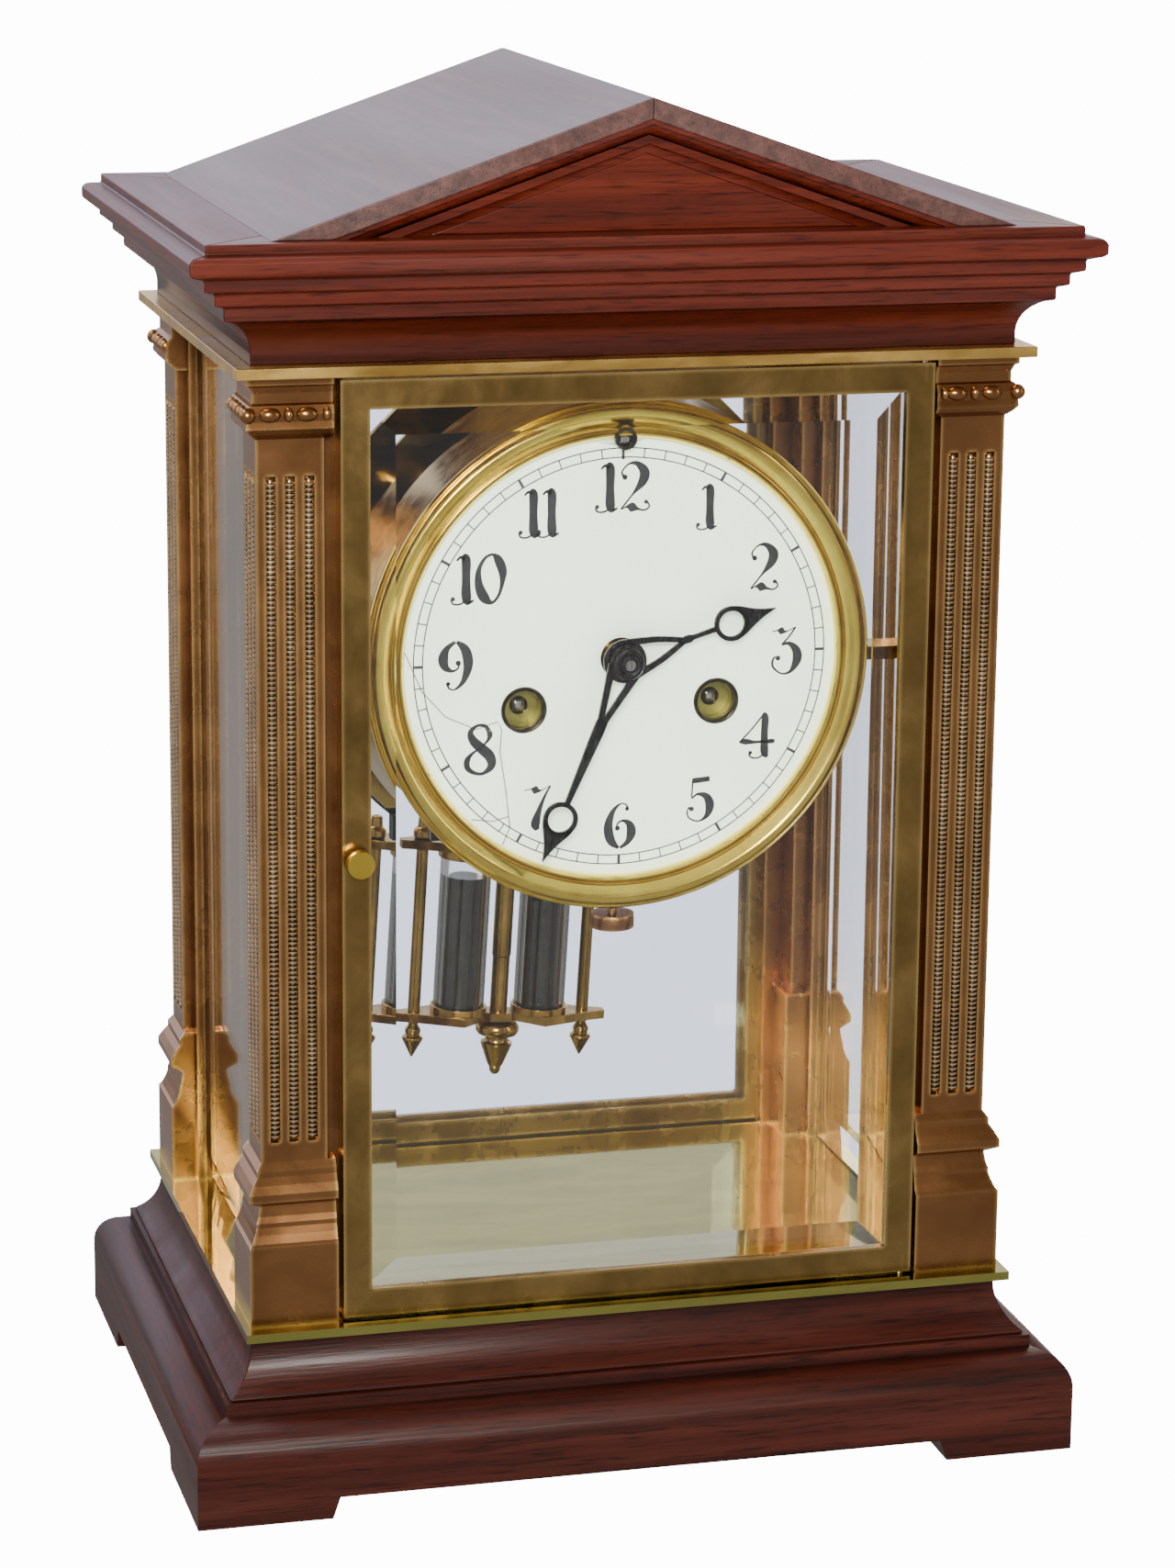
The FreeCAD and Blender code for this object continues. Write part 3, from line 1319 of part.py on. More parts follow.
def make_pendulum():
    """Side rods, two bars and a centre rod; two glass vials of mercury between."""
    y = "{pendulum_y}"
    top = "{top_bar_z}"
    low = "{low_bar_z}"
    pivot = "({dial_height} + {anchor_height})"
    end, lobe = "{pendulum_half_bar}", "{vial_x}"
    front_edge = [(end, "1.3"), ("{pendulum_side_rod}", "3.0"), (lobe, "7.8"), ("5", "3.4"), ("3.2", "2.4"),
                  ("2.7", "3.4")]
    half_outline = front_edge + [("-" + x, reach) for x, reach in reversed(front_edge)]
    outline = half_outline + [(x, "-" + reach) for x, reach in reversed(half_outline)]
    parts = [
        prism("pendulum_top_bar", outline, X_AXIS, Y_AXIS, ("0", y, top), Z_AXIS, "{bar_thickness}"),
        prism("pendulum_low_bar", outline, X_AXIS, Y_AXIS, ("0", y, low), Z_AXIS, "{bar_thickness}"),
        rod("pendulum_rod", ("0", y, low + " - 10"), "2.1", pivot + " - " + low + " + 8", "z"),
        rod("pendulum_tip", ("0", y, low + " - 14.2"), "1.45", "5", "z"),
        rod("pendulum_eye", ("0", y + " - 2.5", pivot), "4", "5"),
    ]
    for side, sx in (("left", "-"), ("right", "")):
        x = sx + "{pendulum_side_rod}"
        parts += [
            rod("pendulum_side_" + side, (x, y, low + " - 3"), "1.5", top + " - " + low + " + 8", "z"),
            rod("pendulum_nut_" + side, (x, y, top + " + {bar_thickness} - 0.1"), "2.4", "2.6", "z"),
            rod("pendulum_foot_" + side, (x, y, low + " - 4.3"), "1.9", "3.2", "z"),
            cone("pendulum_finial_" + side, (x, y, low + " - 9.5"), "0.3", "2.6", "5.3"),
        ]
    bore = rod("pendulum_bore", ("0", y + " - 4", pivot), "1.5 + {running_gap}", "8")
    frame = cut("pendulum_frame_cut", fuse("pendulum_frame_solid", parts), [bore])

    vials = []
    columns = []
    seats = []
    for side, sx in (("left", "-"), ("right", "")):
        x = sx + "{vial_x}"
        base = low + " + {bar_thickness}"
        height = "(%s - %s - {bar_thickness})" % (top, low)
        shell = rod("vial_shell_" + side, (x, y, base), "{vial_radius}", height, "z")
        hollow = rod("vial_hollow_" + side, (x, y, base + " + {vial_wall}"), "{mercury_radius}",
                     height + " - 2 * {vial_wall}", "z")
        vials.append(cut("vial_" + side, shell, [hollow]))
        columns.append(rod("mercury_" + side, (x, y, base + " + {vial_wall}"), "{mercury_radius}",
                           height + " - 8", "z"))
    tilt_with_pendulum(frame, "pendulum_frame")
    tilt_with_pendulum(group("vials", vials), "mercury_vials")
    tilt_with_pendulum(group("columns", columns), "mercury_columns")
    nut = turned("rating_nut_body", [
        ("1.45 + {running_gap}", "0"),
        ("1.8", "-0.1"),
        ("3.85", "5.3"),
        ("3.9", "5.8"),
        ("2.8", "6.4"),
        ("2.8", "7.3"),
        ("4.8", "8.1"),
        ("5.3", "8.9"),
        ("5.3", "10.0"),
        ("4.8", "10.8"),
        ("3.4", "11.3"),
        ("2.1 + {running_gap}", "11.3"),
        ("2.1 + {running_gap}", "1.55"),
        ("1.45 + {running_gap}", "1.55"),
    ])
    nut.setExpression("Placement.Base.y", bound(y))
    nut.setExpression("Placement.Base.z", bound(low + " - 11.7"))
    tilt_with_pendulum(nut, "rating_nut")


make_dial()
make_bezel()
make_sleeve()
make_plates_of_movement()
make_gong()
make_motion_work()
make_going_train()
make_barrels()
make_escapement_and_strike()
make_hands()
make_pendulum()


# ---------------------------------------------------------------------------
# Checks and export
# ---------------------------------------------------------------------------

doc.recompute()

faults = []
for item in doc.Objects:
    if "Invalid" in item.State or "Error" in item.State:
        faults.append("%s (%s) is %s" % (item.Name, item.Label, item.State))
for piece in SUB_PARTS:
    if piece.Shape.isNull() or not piece.Shape.isValid():
        faults.append(piece.Label + " has no valid shape")
    elif not piece.Shape.Solids:
        faults.append(piece.Label + " has no solid")
if faults:
    raise RuntimeError("; ".join(faults))

os.makedirs("parts", exist_ok=True)
for piece in SUB_PARTS:
    piece.Shape.exportStep(os.path.join("parts", piece.Label + ".step"))
print("wrote %d sub-parts" % len(SUB_PARTS))
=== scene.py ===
import json
import math

import bmesh
import bpy
from mathutils import Matrix, Vector


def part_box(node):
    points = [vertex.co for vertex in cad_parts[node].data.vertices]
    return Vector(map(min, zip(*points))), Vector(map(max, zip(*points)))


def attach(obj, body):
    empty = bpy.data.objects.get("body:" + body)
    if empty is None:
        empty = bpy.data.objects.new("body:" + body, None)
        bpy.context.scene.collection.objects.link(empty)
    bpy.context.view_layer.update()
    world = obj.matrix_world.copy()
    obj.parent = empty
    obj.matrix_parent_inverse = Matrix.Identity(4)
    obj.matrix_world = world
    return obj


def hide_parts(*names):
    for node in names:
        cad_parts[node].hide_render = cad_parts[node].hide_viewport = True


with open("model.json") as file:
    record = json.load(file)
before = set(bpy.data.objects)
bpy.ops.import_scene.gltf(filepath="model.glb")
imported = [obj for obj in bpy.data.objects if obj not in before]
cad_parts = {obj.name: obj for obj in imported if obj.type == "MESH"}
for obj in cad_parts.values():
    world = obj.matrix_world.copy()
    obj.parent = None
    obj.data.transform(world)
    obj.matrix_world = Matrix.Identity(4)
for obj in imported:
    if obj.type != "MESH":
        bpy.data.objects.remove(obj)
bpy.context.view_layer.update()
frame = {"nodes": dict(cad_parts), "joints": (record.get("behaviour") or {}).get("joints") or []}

# Mantel clock: mahogany base and pediment, fluted brass posts, bevelled glass
# and a round movement with a two-vial pendulum.  Shapes are written in
# millimetres and stored in metres.

MM = 0.001
NODES = frame["nodes"]
JOINTS = {joint["name"]: joint for joint in frame["joints"]}


def box_mm(node):
    low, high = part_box(node)
    return [v / MM for v in low], [v / MM for v in high]


# ---- Camera, light and floor ----

CAMERA_PLACE = (-0.25344, -0.97167, 0.39370)
CAMERA_ANGLES = (14.89, 13.88, 0.56)    # degrees to the right, down, and rolled
CAMERA_LENS, SENSOR_WIDTH = 101.67, 36  # mm


def make_camera():
    yaw, pitch, roll = (math.radians(angle) for angle in CAMERA_ANGLES)
    forward = Vector((math.sin(yaw) * math.cos(pitch), math.cos(yaw) * math.cos(pitch),
                      -math.sin(pitch)))
    right = Vector((math.cos(yaw), -math.sin(yaw), 0))
    up = right.cross(forward)
    right_rolled = right * math.cos(roll) + up * math.sin(roll)
    up_rolled = up * math.cos(roll) - right * math.sin(roll)
    data = bpy.data.cameras.new("camera")
    data.lens = CAMERA_LENS
    data.sensor_width = SENSOR_WIDTH
    data.clip_end = 60
    camera = bpy.data.objects.new("camera", data)
    turn = Matrix((right_rolled, up_rolled, -forward)).transposed().to_4x4()
    camera.matrix_world = Matrix.Translation(CAMERA_PLACE) @ turn
    bpy.context.scene.collection.objects.link(camera)
    bpy.context.scene.camera = camera


def area_light(name, place, target, size, energy, colour):
    """A soft rectangular lamp aimed at a point; places in metres, energy in watts."""
    data = bpy.data.lights.new(name, "AREA")
    data.shape = "RECTANGLE"
    data.size, data.size_y = size
    data.energy = energy
    data.color = colour
    light = bpy.data.objects.new(name, data)
    aim = (Vector(target) - Vector(place)).to_track_quat("-Z", "Y")
    light.matrix_world = Matrix.Translation(place) @ aim.to_matrix().to_4x4()
    bpy.context.scene.collection.objects.link(light)


def glow(tree, colour, strength, kind="ShaderNodeBackground"):
    node = tree.nodes.new(kind)
    node.inputs["Color"].default_value = (*colour, 1)
    node.inputs["Strength"].default_value = strength
    return node


def ray_kinds(nodes, links):
    """Factors for mirrored rays, rays straight through glass, and the camera's own rays.

    They are mixed in this order, so a later kind covers an earlier one.  A ray
    through glass that has also met anything else on its way counts as mirrored.
    """
    path = nodes.new("ShaderNodeLightPath")

    def maths(operation, first, second):
        node = nodes.new("ShaderNodeMath")
        node.operation = operation
        for socket, value in zip(node.inputs, (first, second)):
            if isinstance(value, float):
                socket.default_value = value
            else:
                links.new(value, socket)
        return node.outputs[0]

    passed = path.outputs["Is Transmission Ray"]
    turned = maths("SUBTRACT", path.outputs["Ray Depth"], path.outputs["Transmission Depth"])
    straight = maths("MULTIPLY", passed, maths("LESS_THAN", turned, 0.5))
    mirrored = maths("MAXIMUM", passed, path.outputs["Is Glossy Ray"])
    return mirrored, straight, path.outputs["Is Camera Ray"]


def by_ray(nodes, links, base, shaders):
    """The base shader, covered in turn by what each kind of ray sees instead."""
    for ray, shader in zip(ray_kinds(nodes, links), shaders):
        mix = nodes.new("ShaderNodeMixShader")
        for socket, source in zip(mix.inputs, (ray, base.outputs[0], shader.outputs[0])):
            links.new(source, socket)
        base = mix
    return base.outputs[0]


def studio_glow(tree):
    """What mirrored rays see: a soft gradient, dim in front and bright above and behind."""
    studio = tree.nodes.new("ShaderNodeBackground")
    coords = tree.nodes.new("ShaderNodeTexCoord")
    split = tree.nodes.new("ShaderNodeSeparateXYZ")
    tree.links.new(coords.outputs["Generated"], split.inputs[0])
    total = None
    for axis, gain in (("X", -0.34), ("Y", 0.58), ("Z", 0.30)):
        term = tree.nodes.new("ShaderNodeMath")
        term.operation = "MULTIPLY_ADD"
        tree.links.new(split.outputs[axis], term.inputs[0])
        term.inputs[1].default_value = gain
        if total is None:
            term.inputs[2].default_value = 0.22
        else:
            tree.links.new(total, term.inputs[2])
        total = term.outputs[0]
    blend = tree.nodes.new("ShaderNodeValToRGB")
    stops = blend.color_ramp.elements
    stops[0].position, stops[0].color = 0.0, (0.20, 0.165, 0.13, 1)
    stops[1].position, stops[1].color = 0.95, (1.45, 1.45, 1.75, 1)
    middle = stops.new(0.35)
    middle.color = (0.50, 0.46, 0.43, 1)
    tree.links.new(total, blend.inputs[0])
    tree.links.new(blend.outputs[0], studio.inputs["Color"])
    return studio


# the colour and strength that each kind of ray sees
WHITE = (1.0, 1.0, 1.0)
WORLD_TO_CAMERA, FLOOR_TO_CAMERA = 16.0, 14.0
THROUGH_GLASS, THROUGH_STRENGTH = (0.77, 0.82, 1.0), 2.1
MIRRORED_FLOOR, MIRRORED_STRENGTH = (0.38, 0.37, 0.37), 1.0
AMBIENT, AMBIENT_STRENGTH = (0.95, 0.97, 1.0), 1.6
FLOOR_HALF = 14.0                       # metres
FLOOR_GAP = 0.0004                      # metres below the feet


def make_world():
    """White to the camera, pale blue through glass, and a soft gradient in polished metal."""
    world = bpy.data.worlds.new("studio")
    bpy.context.scene.world = world
    world.use_nodes = True
    tree = world.node_tree
    tree.nodes.clear()
    output = tree.nodes.new("ShaderNodeOutputWorld")
    seen = by_ray(tree.nodes, tree.links, glow(tree, AMBIENT, AMBIENT_STRENGTH),
                  (studio_glow(tree), glow(tree, THROUGH_GLASS, THROUGH_STRENGTH),
                   glow(tree, WHITE, WORLD_TO_CAMERA)))
    tree.links.new(seen, output.inputs["Surface"])


def make_floor():
    """A plain floor: white to the camera, pale blue through glass, grey in polished metal."""
    half = FLOOR_HALF
    mesh = bpy.data.meshes.new("floor")
    mesh.from_pydata([(-half, -half, 0), (half, -half, 0), (half, half, 0), (-half, half, 0)], [],
                     [(0, 1, 2, 3)])
    floor = bpy.data.objects.new("floor", mesh)
    bpy.context.scene.collection.objects.link(floor)
    floor.location.z = -FLOOR_GAP
    material, nodes, links, shader = new_material("floor_pale")
    shader.inputs["Base Color"].default_value = (0.93, 0.93, 0.94, 1)
    shader.inputs["Roughness"].default_value = 0.8
    seen = by_ray(nodes, links, shader,
                  [glow(material.node_tree, colour, strength, "ShaderNodeEmission")
                   for colour, strength in ((MIRRORED_FLOOR, MIRRORED_STRENGTH),
                                            (THROUGH_GLASS, THROUGH_STRENGTH),
                                            (WHITE, FLOOR_TO_CAMERA))])
    links.new(seen, nodes["Material Output"].inputs["Surface"])
    mesh.materials.append(material)


# ---- Materials ----

def new_material(name):
    material = bpy.data.materials.new(name)
    material.use_nodes = True
    nodes = material.node_tree.nodes
    return material, nodes, material.node_tree.links, nodes["Principled BSDF"]


def stretched_noise(nodes, links, scale, detail=4.0, rough=0.55, distortion=0.0):
    """Noise in the piece's own coordinates, in cycles per metre along each axis."""
    coords = nodes.new("ShaderNodeTexCoord")
    mapping = nodes.new("ShaderNodeMapping")
    mapping.inputs["Scale"].default_value = scale
    noise = nodes.new("ShaderNodeTexNoise")
    noise.inputs["Scale"].default_value = 1.0
    noise.inputs["Detail"].default_value = detail
    noise.inputs["Roughness"].default_value = rough
    noise.inputs["Distortion"].default_value = distortion
    links.new(coords.outputs["Object"], mapping.inputs[0])
    links.new(mapping.outputs[0], noise.inputs["Vector"])
    return noise.outputs["Fac"]


def ramp(nodes, links, source, stops):
    """A colour ramp; a stop of one number is a grey."""
    node = nodes.new("ShaderNodeValToRGB")
    elements = node.color_ramp.elements
    while len(elements) < len(stops):
        elements.new(0.5)
    for element, (position, colour) in zip(elements, stops):
        element.position = position
        element.color = (*colour, 1) if len(colour) == 3 else (colour[0],) * 3 + (1,)
    links.new(source, node.inputs[0])
    return node.outputs[0]


def mix_colour(nodes, links, factor, first, second, blend="MIX"):
    node = nodes.new("ShaderNodeMix")
    node.data_type = "RGBA"
    node.blend_type = blend
    for socket, value in ((node.inputs[0], factor), (node.inputs[6], first), (node.inputs[7], second)):
        if isinstance(value, (int, float)):
            socket.default_value = value
        elif isinstance(value, tuple):
            socket.default_value = (*value, 1)
        else:
            links.new(value, socket)
    return node.outputs[2]


def add_bump(nodes, links, shader, height, strength, distance):
    bump = nodes.new("ShaderNodeBump")
    bump.inputs["Strength"].default_value = strength
    bump.inputs["Distance"].default_value = distance
    links.new(height, bump.inputs["Height"])
    links.new(bump.outputs[0], shader.inputs["Normal"])


CORNER_REACH, EDGE_REACH = 0.004, 0.0011    # metres


def hollows(nodes, reach, inside=False):
    """1 on open surfaces and 0 in corners, or, looking inside, 0 along outer edges."""
    node = nodes.new("ShaderNodeAmbientOcclusion")
    node.samples = 6
    node.only_local = True
    node.inside = inside
    node.inputs["Distance"].default_value = reach
    return node.outputs["AO"]


def along(grain, slow, fast):
    """A noise scale that is slow along the grain's axis and fast across it."""
    return tuple(slow if axis == grain else fast for axis in "xyz")


# how dark the painted shade on the frieze under the cornice gets
PAINTED_FRIEZE_SHADE = 0.30


def wood(name, grain, dark, middle, light, rough=(0.24, 0.42), coat=0.10, painted_shade_heights=None):
    """Waxed wood with streaks, pores and painted shade in its corners.

    Where the shaded heights are given, the colour darkens between those two heights, in metres: painted
    shade under the cornice.
    """
    material, nodes, links, shader = new_material(name)
    streaks = stretched_noise(nodes, links, along(grain, 9, 360), 7, 0.62, 0.35)
    broad = stretched_noise(nodes, links, along(grain, 5, 46), 3, 0.5, 0.6)
    pores = stretched_noise(nodes, links, along(grain, 90, 1900), 2, 0.5)
    base = ramp(nodes, links, streaks, [(0.30, dark), (0.52, middle), (0.74, light)])
    shade = ramp(nodes, links, broad, [(0.30, (0.55,)), (0.66, (1.0,))])
    colour = mix_colour(nodes, links, 0.35, base, shade, "MULTIPLY")
    pore_shade = ramp(nodes, links, pores, [(0.33, (0.25,)), (0.44, (1.0,))])
    colour = mix_colour(nodes, links, 0.7, colour, pore_shade, "MULTIPLY")
    # painted shade: the colour darkens in corners and recesses, where ambient occlusion finds them
    corner_shade = ramp(nodes, links, hollows(nodes, CORNER_REACH), [(0.35, (0.22,)), (0.85, (1.0,))])
    colour = mix_colour(nodes, links, 0.85, colour, corner_shade, "MULTIPLY")
    # painted shade: darker towards the bottom of the two heights, where the cornice overhangs the
    # frieze
    if painted_shade_heights:
        coords = nodes.new("ShaderNodeTexCoord")
        split = nodes.new("ShaderNodeSeparateXYZ")
        links.new(coords.outputs["Object"], split.inputs[0])
        level = nodes.new("ShaderNodeMapRange")
        level.inputs["From Min"].default_value, level.inputs["From Max"].default_value = painted_shade_heights
        level.inputs["To Min"].default_value = PAINTED_FRIEZE_SHADE
        links.new(split.outputs["Z"], level.inputs[0])
        colour = mix_colour(nodes, links, 1.0, colour, level.outputs[0], "MULTIPLY")
    links.new(colour, shader.inputs["Base Color"])
    links.new(ramp(nodes, links, broad, [(0.3, (rough[0],)), (0.7, (rough[1],))]),
              shader.inputs["Roughness"])
    shader.inputs["Coat Weight"].default_value = coat
    shader.inputs["Specular IOR Level"].default_value = 0.14 + coat
    shader.inputs["Coat Roughness"].default_value = 0.18
    add_bump(nodes, links, shader, pores, 0.25, 0.00025)
    return material


def metal(name, stops, rough, streak="z", corner_shade_level=0.3, bump=0.12, reach=0.003, coarse=70.0,
          stretch=3.0, worn_edge_highlight=None):
    """Metal whose colour wanders between the stops, with painted shade in its corners and brighter
    edges that are partly rubbed and partly painted highlight.
    """
    material, nodes, links, shader = new_material(name)
    patches = stretched_noise(nodes, links, along(streak, coarse, coarse * stretch), 5, 0.6, 0.4)
    fine = stretched_noise(nodes, links, along(streak, 500, 1500), 2, 0.6)
    colour = ramp(nodes, links, patches, stops)
    if corner_shade_level < 1:
        # painted shade: the colour darkens in corners and recesses, where ambient occlusion finds them
        corner_shade = ramp(nodes, links, hollows(nodes, reach), [(0.25, (corner_shade_level,)), (0.8, (1.0,))])
        colour = mix_colour(nodes, links, 1.0, colour, corner_shade, "MULTIPLY")
    # brighter colour along outer edges: partly brass rubbed bright, partly painted highlight
    if worn_edge_highlight:
        edges = ramp(nodes, links, hollows(nodes, EDGE_REACH, True), [(0.62, (0.75,)), (0.86, (0.0,))])
        colour = mix_colour(nodes, links, edges, colour, worn_edge_highlight)
    links.new(colour, shader.inputs["Base Color"])
    shader.inputs["Metallic"].default_value = 1.0
    links.new(ramp(nodes, links, patches, [(0.3, (rough[0],)), (0.7, (rough[1],))]),
              shader.inputs["Roughness"])
    add_bump(nodes, links, shader, fine, bump, 0.00006)
    return material


def glaze(name, stops, rough, coat=0.4, scale=60.0, bump=0.0):
    """Fired glaze or ink under a clear coat."""
    material, nodes, links, shader = new_material(name)
    clouds = stretched_noise(nodes, links, (scale, scale, scale), 4, 0.6)
    links.new(ramp(nodes, links, clouds, stops), shader.inputs["Base Color"])
    shader.inputs["Roughness"].default_value = rough
    shader.inputs["Coat Weight"].default_value = coat
    shader.inputs["Coat Roughness"].default_value = 0.08
    if bump:
        add_bump(nodes, links, shader, clouds, bump, 0.0001)
    return material


GLASS_INDEX = 1.5


def glass(name, tint):
    """Clear glass that lets lamps through to what is behind it."""
    material, nodes, links, shader = new_material(name)
    film = stretched_noise(nodes, links, (40, 40, 25), 4, 0.6)
    links.new(ramp(nodes, links, film, [(0.35, (0.0,)), (0.75, (0.035,))]), shader.inputs["Roughness"])
    shader.inputs["Base Color"].default_value = (*tint, 1)
    shader.inputs["IOR"].default_value = GLASS_INDEX
    shader.inputs["Transmission Weight"].default_value = 1.0
    clear = nodes.new("ShaderNodeBsdfTransparent")
    clear.inputs["Color"].default_value = (*tint, 1)
    path = nodes.new("ShaderNodeLightPath")
    either = nodes.new("ShaderNodeMath")
    either.operation = "MAXIMUM"
    links.new(path.outputs["Is Shadow Ray"], either.inputs[0])
    links.new(path.outputs["Is Diffuse Ray"], either.inputs[1])
    mix = nodes.new("ShaderNodeMixShader")
    links.new(either.outputs[0], mix.inputs[0])
    links.new(shader.outputs[0], mix.inputs[1])
    links.new(clear.outputs[0], mix.inputs[2])
    links.new(mix.outputs[0], nodes["Material Output"].inputs["Surface"])
    return material


MAHOGANY = ((0.032, 0.0035, 0.0012), (0.062, 0.0075, 0.0022), (0.092, 0.013, 0.004))
SHADED_FRIEZE_HEIGHTS = (0.2536, 0.2690)   # painted shade: the frieze under the cornice's overhang is darker
WOOD = {grain: wood("mahogany_" + grain, grain, *MAHOGANY, painted_shade_heights=SHADED_FRIEZE_HEIGHTS) for grain in "xy"}
# The base's mahogany is darker and less glossy than the top's; the darker colour is painted shade.
WOOD_BASE = {grain: wood("mahogany_base_" + grain, grain, (0.013, 0.0021, 0.0010),
                         (0.028, 0.0043, 0.0017), (0.045, 0.0078, 0.0032), (0.34, 0.50), 0.03)
             for grain in "xy"}
WOOD_ROOF = wood("mahogany_roof", "y", (0.030, 0.010, 0.008), (0.060, 0.020, 0.014),
                 (0.095, 0.034, 0.024), (0.34, 0.50), 0.35)
BRONZE = metal("aged_brass", [(0.28, (0.27, 0.122, 0.048)), (0.52, (0.31, 0.145, 0.056)),
                              (0.76, (0.35, 0.168, 0.066))],
               (0.20, 0.32), "z", 0.3, 0.08, 0.003, 55.0, 1.0, (0.86, 0.55, 0.20))
DOOR_BRASS = metal("door_brass", [(0.26, (0.22, 0.140, 0.044)), (0.50, (0.30, 0.190, 0.062)),
                                  (0.78, (0.39, 0.25, 0.088))],
                   (0.18, 0.32), "z", 0.3, 0.08, 0.003, 60.0, 1.3, (0.80, 0.56, 0.20))
EDGE_BRASS = metal("edge_brass", [(0.3, (0.62, 0.36, 0.08)), (0.7, (0.95, 0.62, 0.18))],
                   (0.18, 0.34), "x", 0.5, 0.06, 0.0015, 40.0)
ROD_BRASS = metal("rod_brass", [(0.3, (0.42, 0.30, 0.17)), (0.7, (0.74, 0.58, 0.37))],
                  (0.28, 0.40), "z", 0.08, 0.05, 0.0012, 60.0, 1.0)
PLATE_BRASS = metal("plate_brass", [(0.3, (0.34, 0.32, 0.075)), (0.7, (0.48, 0.45, 0.12))],
                    (0.03, 0.08), "x", 0.7, 0.03, 0.002, 30.0)
GILT = metal("gilt_brass", [(0.3, (0.82, 0.57, 0.065)), (0.7, (1.0, 0.77, 0.14))],
             (0.10, 0.18), "z", 0.6, 0.06, 0.0008, 60.0, 1.2)
MOVEMENT_BRASS = metal("movement_brass", [(0.3, (0.38, 0.25, 0.055)), (0.7, (0.72, 0.50, 0.13))],
                       (0.10, 0.24), "x", 0.4, 0.05, 0.002)
PENDULUM_BRASS = metal("pendulum_brass", [(0.3, (0.30, 0.19, 0.04)), (0.7, (0.62, 0.40, 0.10))],
                       (0.12, 0.26), "z", 0.35, 0.05, 0.002)
BLUED = metal("blued_steel", [(0.3, (0.012, 0.011, 0.012)), (0.7, (0.040, 0.036, 0.040))],
              (0.20, 0.36), "z", 0.7, 0.08, 0.001, 300.0)
BRIGHT_STEEL = metal("bright_steel", [(0.3, (0.30, 0.29, 0.28)), (0.7, (0.60, 0.58, 0.56))],
                     (0.10, 0.24), "z", 0.4, 0.06, 0.001, 300.0)
MERCURY = metal("mercury_column", [(0.3, (0.055, 0.055, 0.050)), (0.7, (0.11, 0.11, 0.10))],
                (0.12, 0.22), "z", 1.0, 0.05, 0.001, 80.0)
OLIVE = metal("plate_seen_through_holes", [(0.3, (0.20, 0.18, 0.040)), (0.7, (0.29, 0.26, 0.065))],
              (0.34, 0.46), "x", 0.9, 0.05, 0.001, 90.0)
RIM = metal("dark_rim", [(0.3, (0.035, 0.028, 0.020)), (0.7, (0.090, 0.075, 0.050))],
            (0.16, 0.26), "x", 0.7, 0.05, 0.001, 200.0)
PORCELAIN = glaze("porcelain", [(0.3, (0.86, 0.97, 0.75)), (0.7, (0.90, 0.99, 0.81))], 0.14)
INK = glaze("fired_ink", [(0.3, (0.008, 0.008, 0.009)), (0.7, (0.018, 0.018, 0.020))], 0.25, 0.3, 900.0)
TRACK_INK = glaze("track_ink", [(0.3, (0.014, 0.014, 0.014)), (0.7, (0.035, 0.035, 0.035))],
                  0.3, 0.3, 700.0)
CRACK = glaze("crack_line", [(0.3, (0.13, 0.125, 0.10)), (0.7, (0.26, 0.25, 0.20))], 0.4, 0.2, 500.0)
PANE = glass("bevelled_glass", (0.97, 0.985, 0.98))
VIAL = glass("vial_glass", (0.96, 0.98, 0.97))


# ---- Mesh building ----

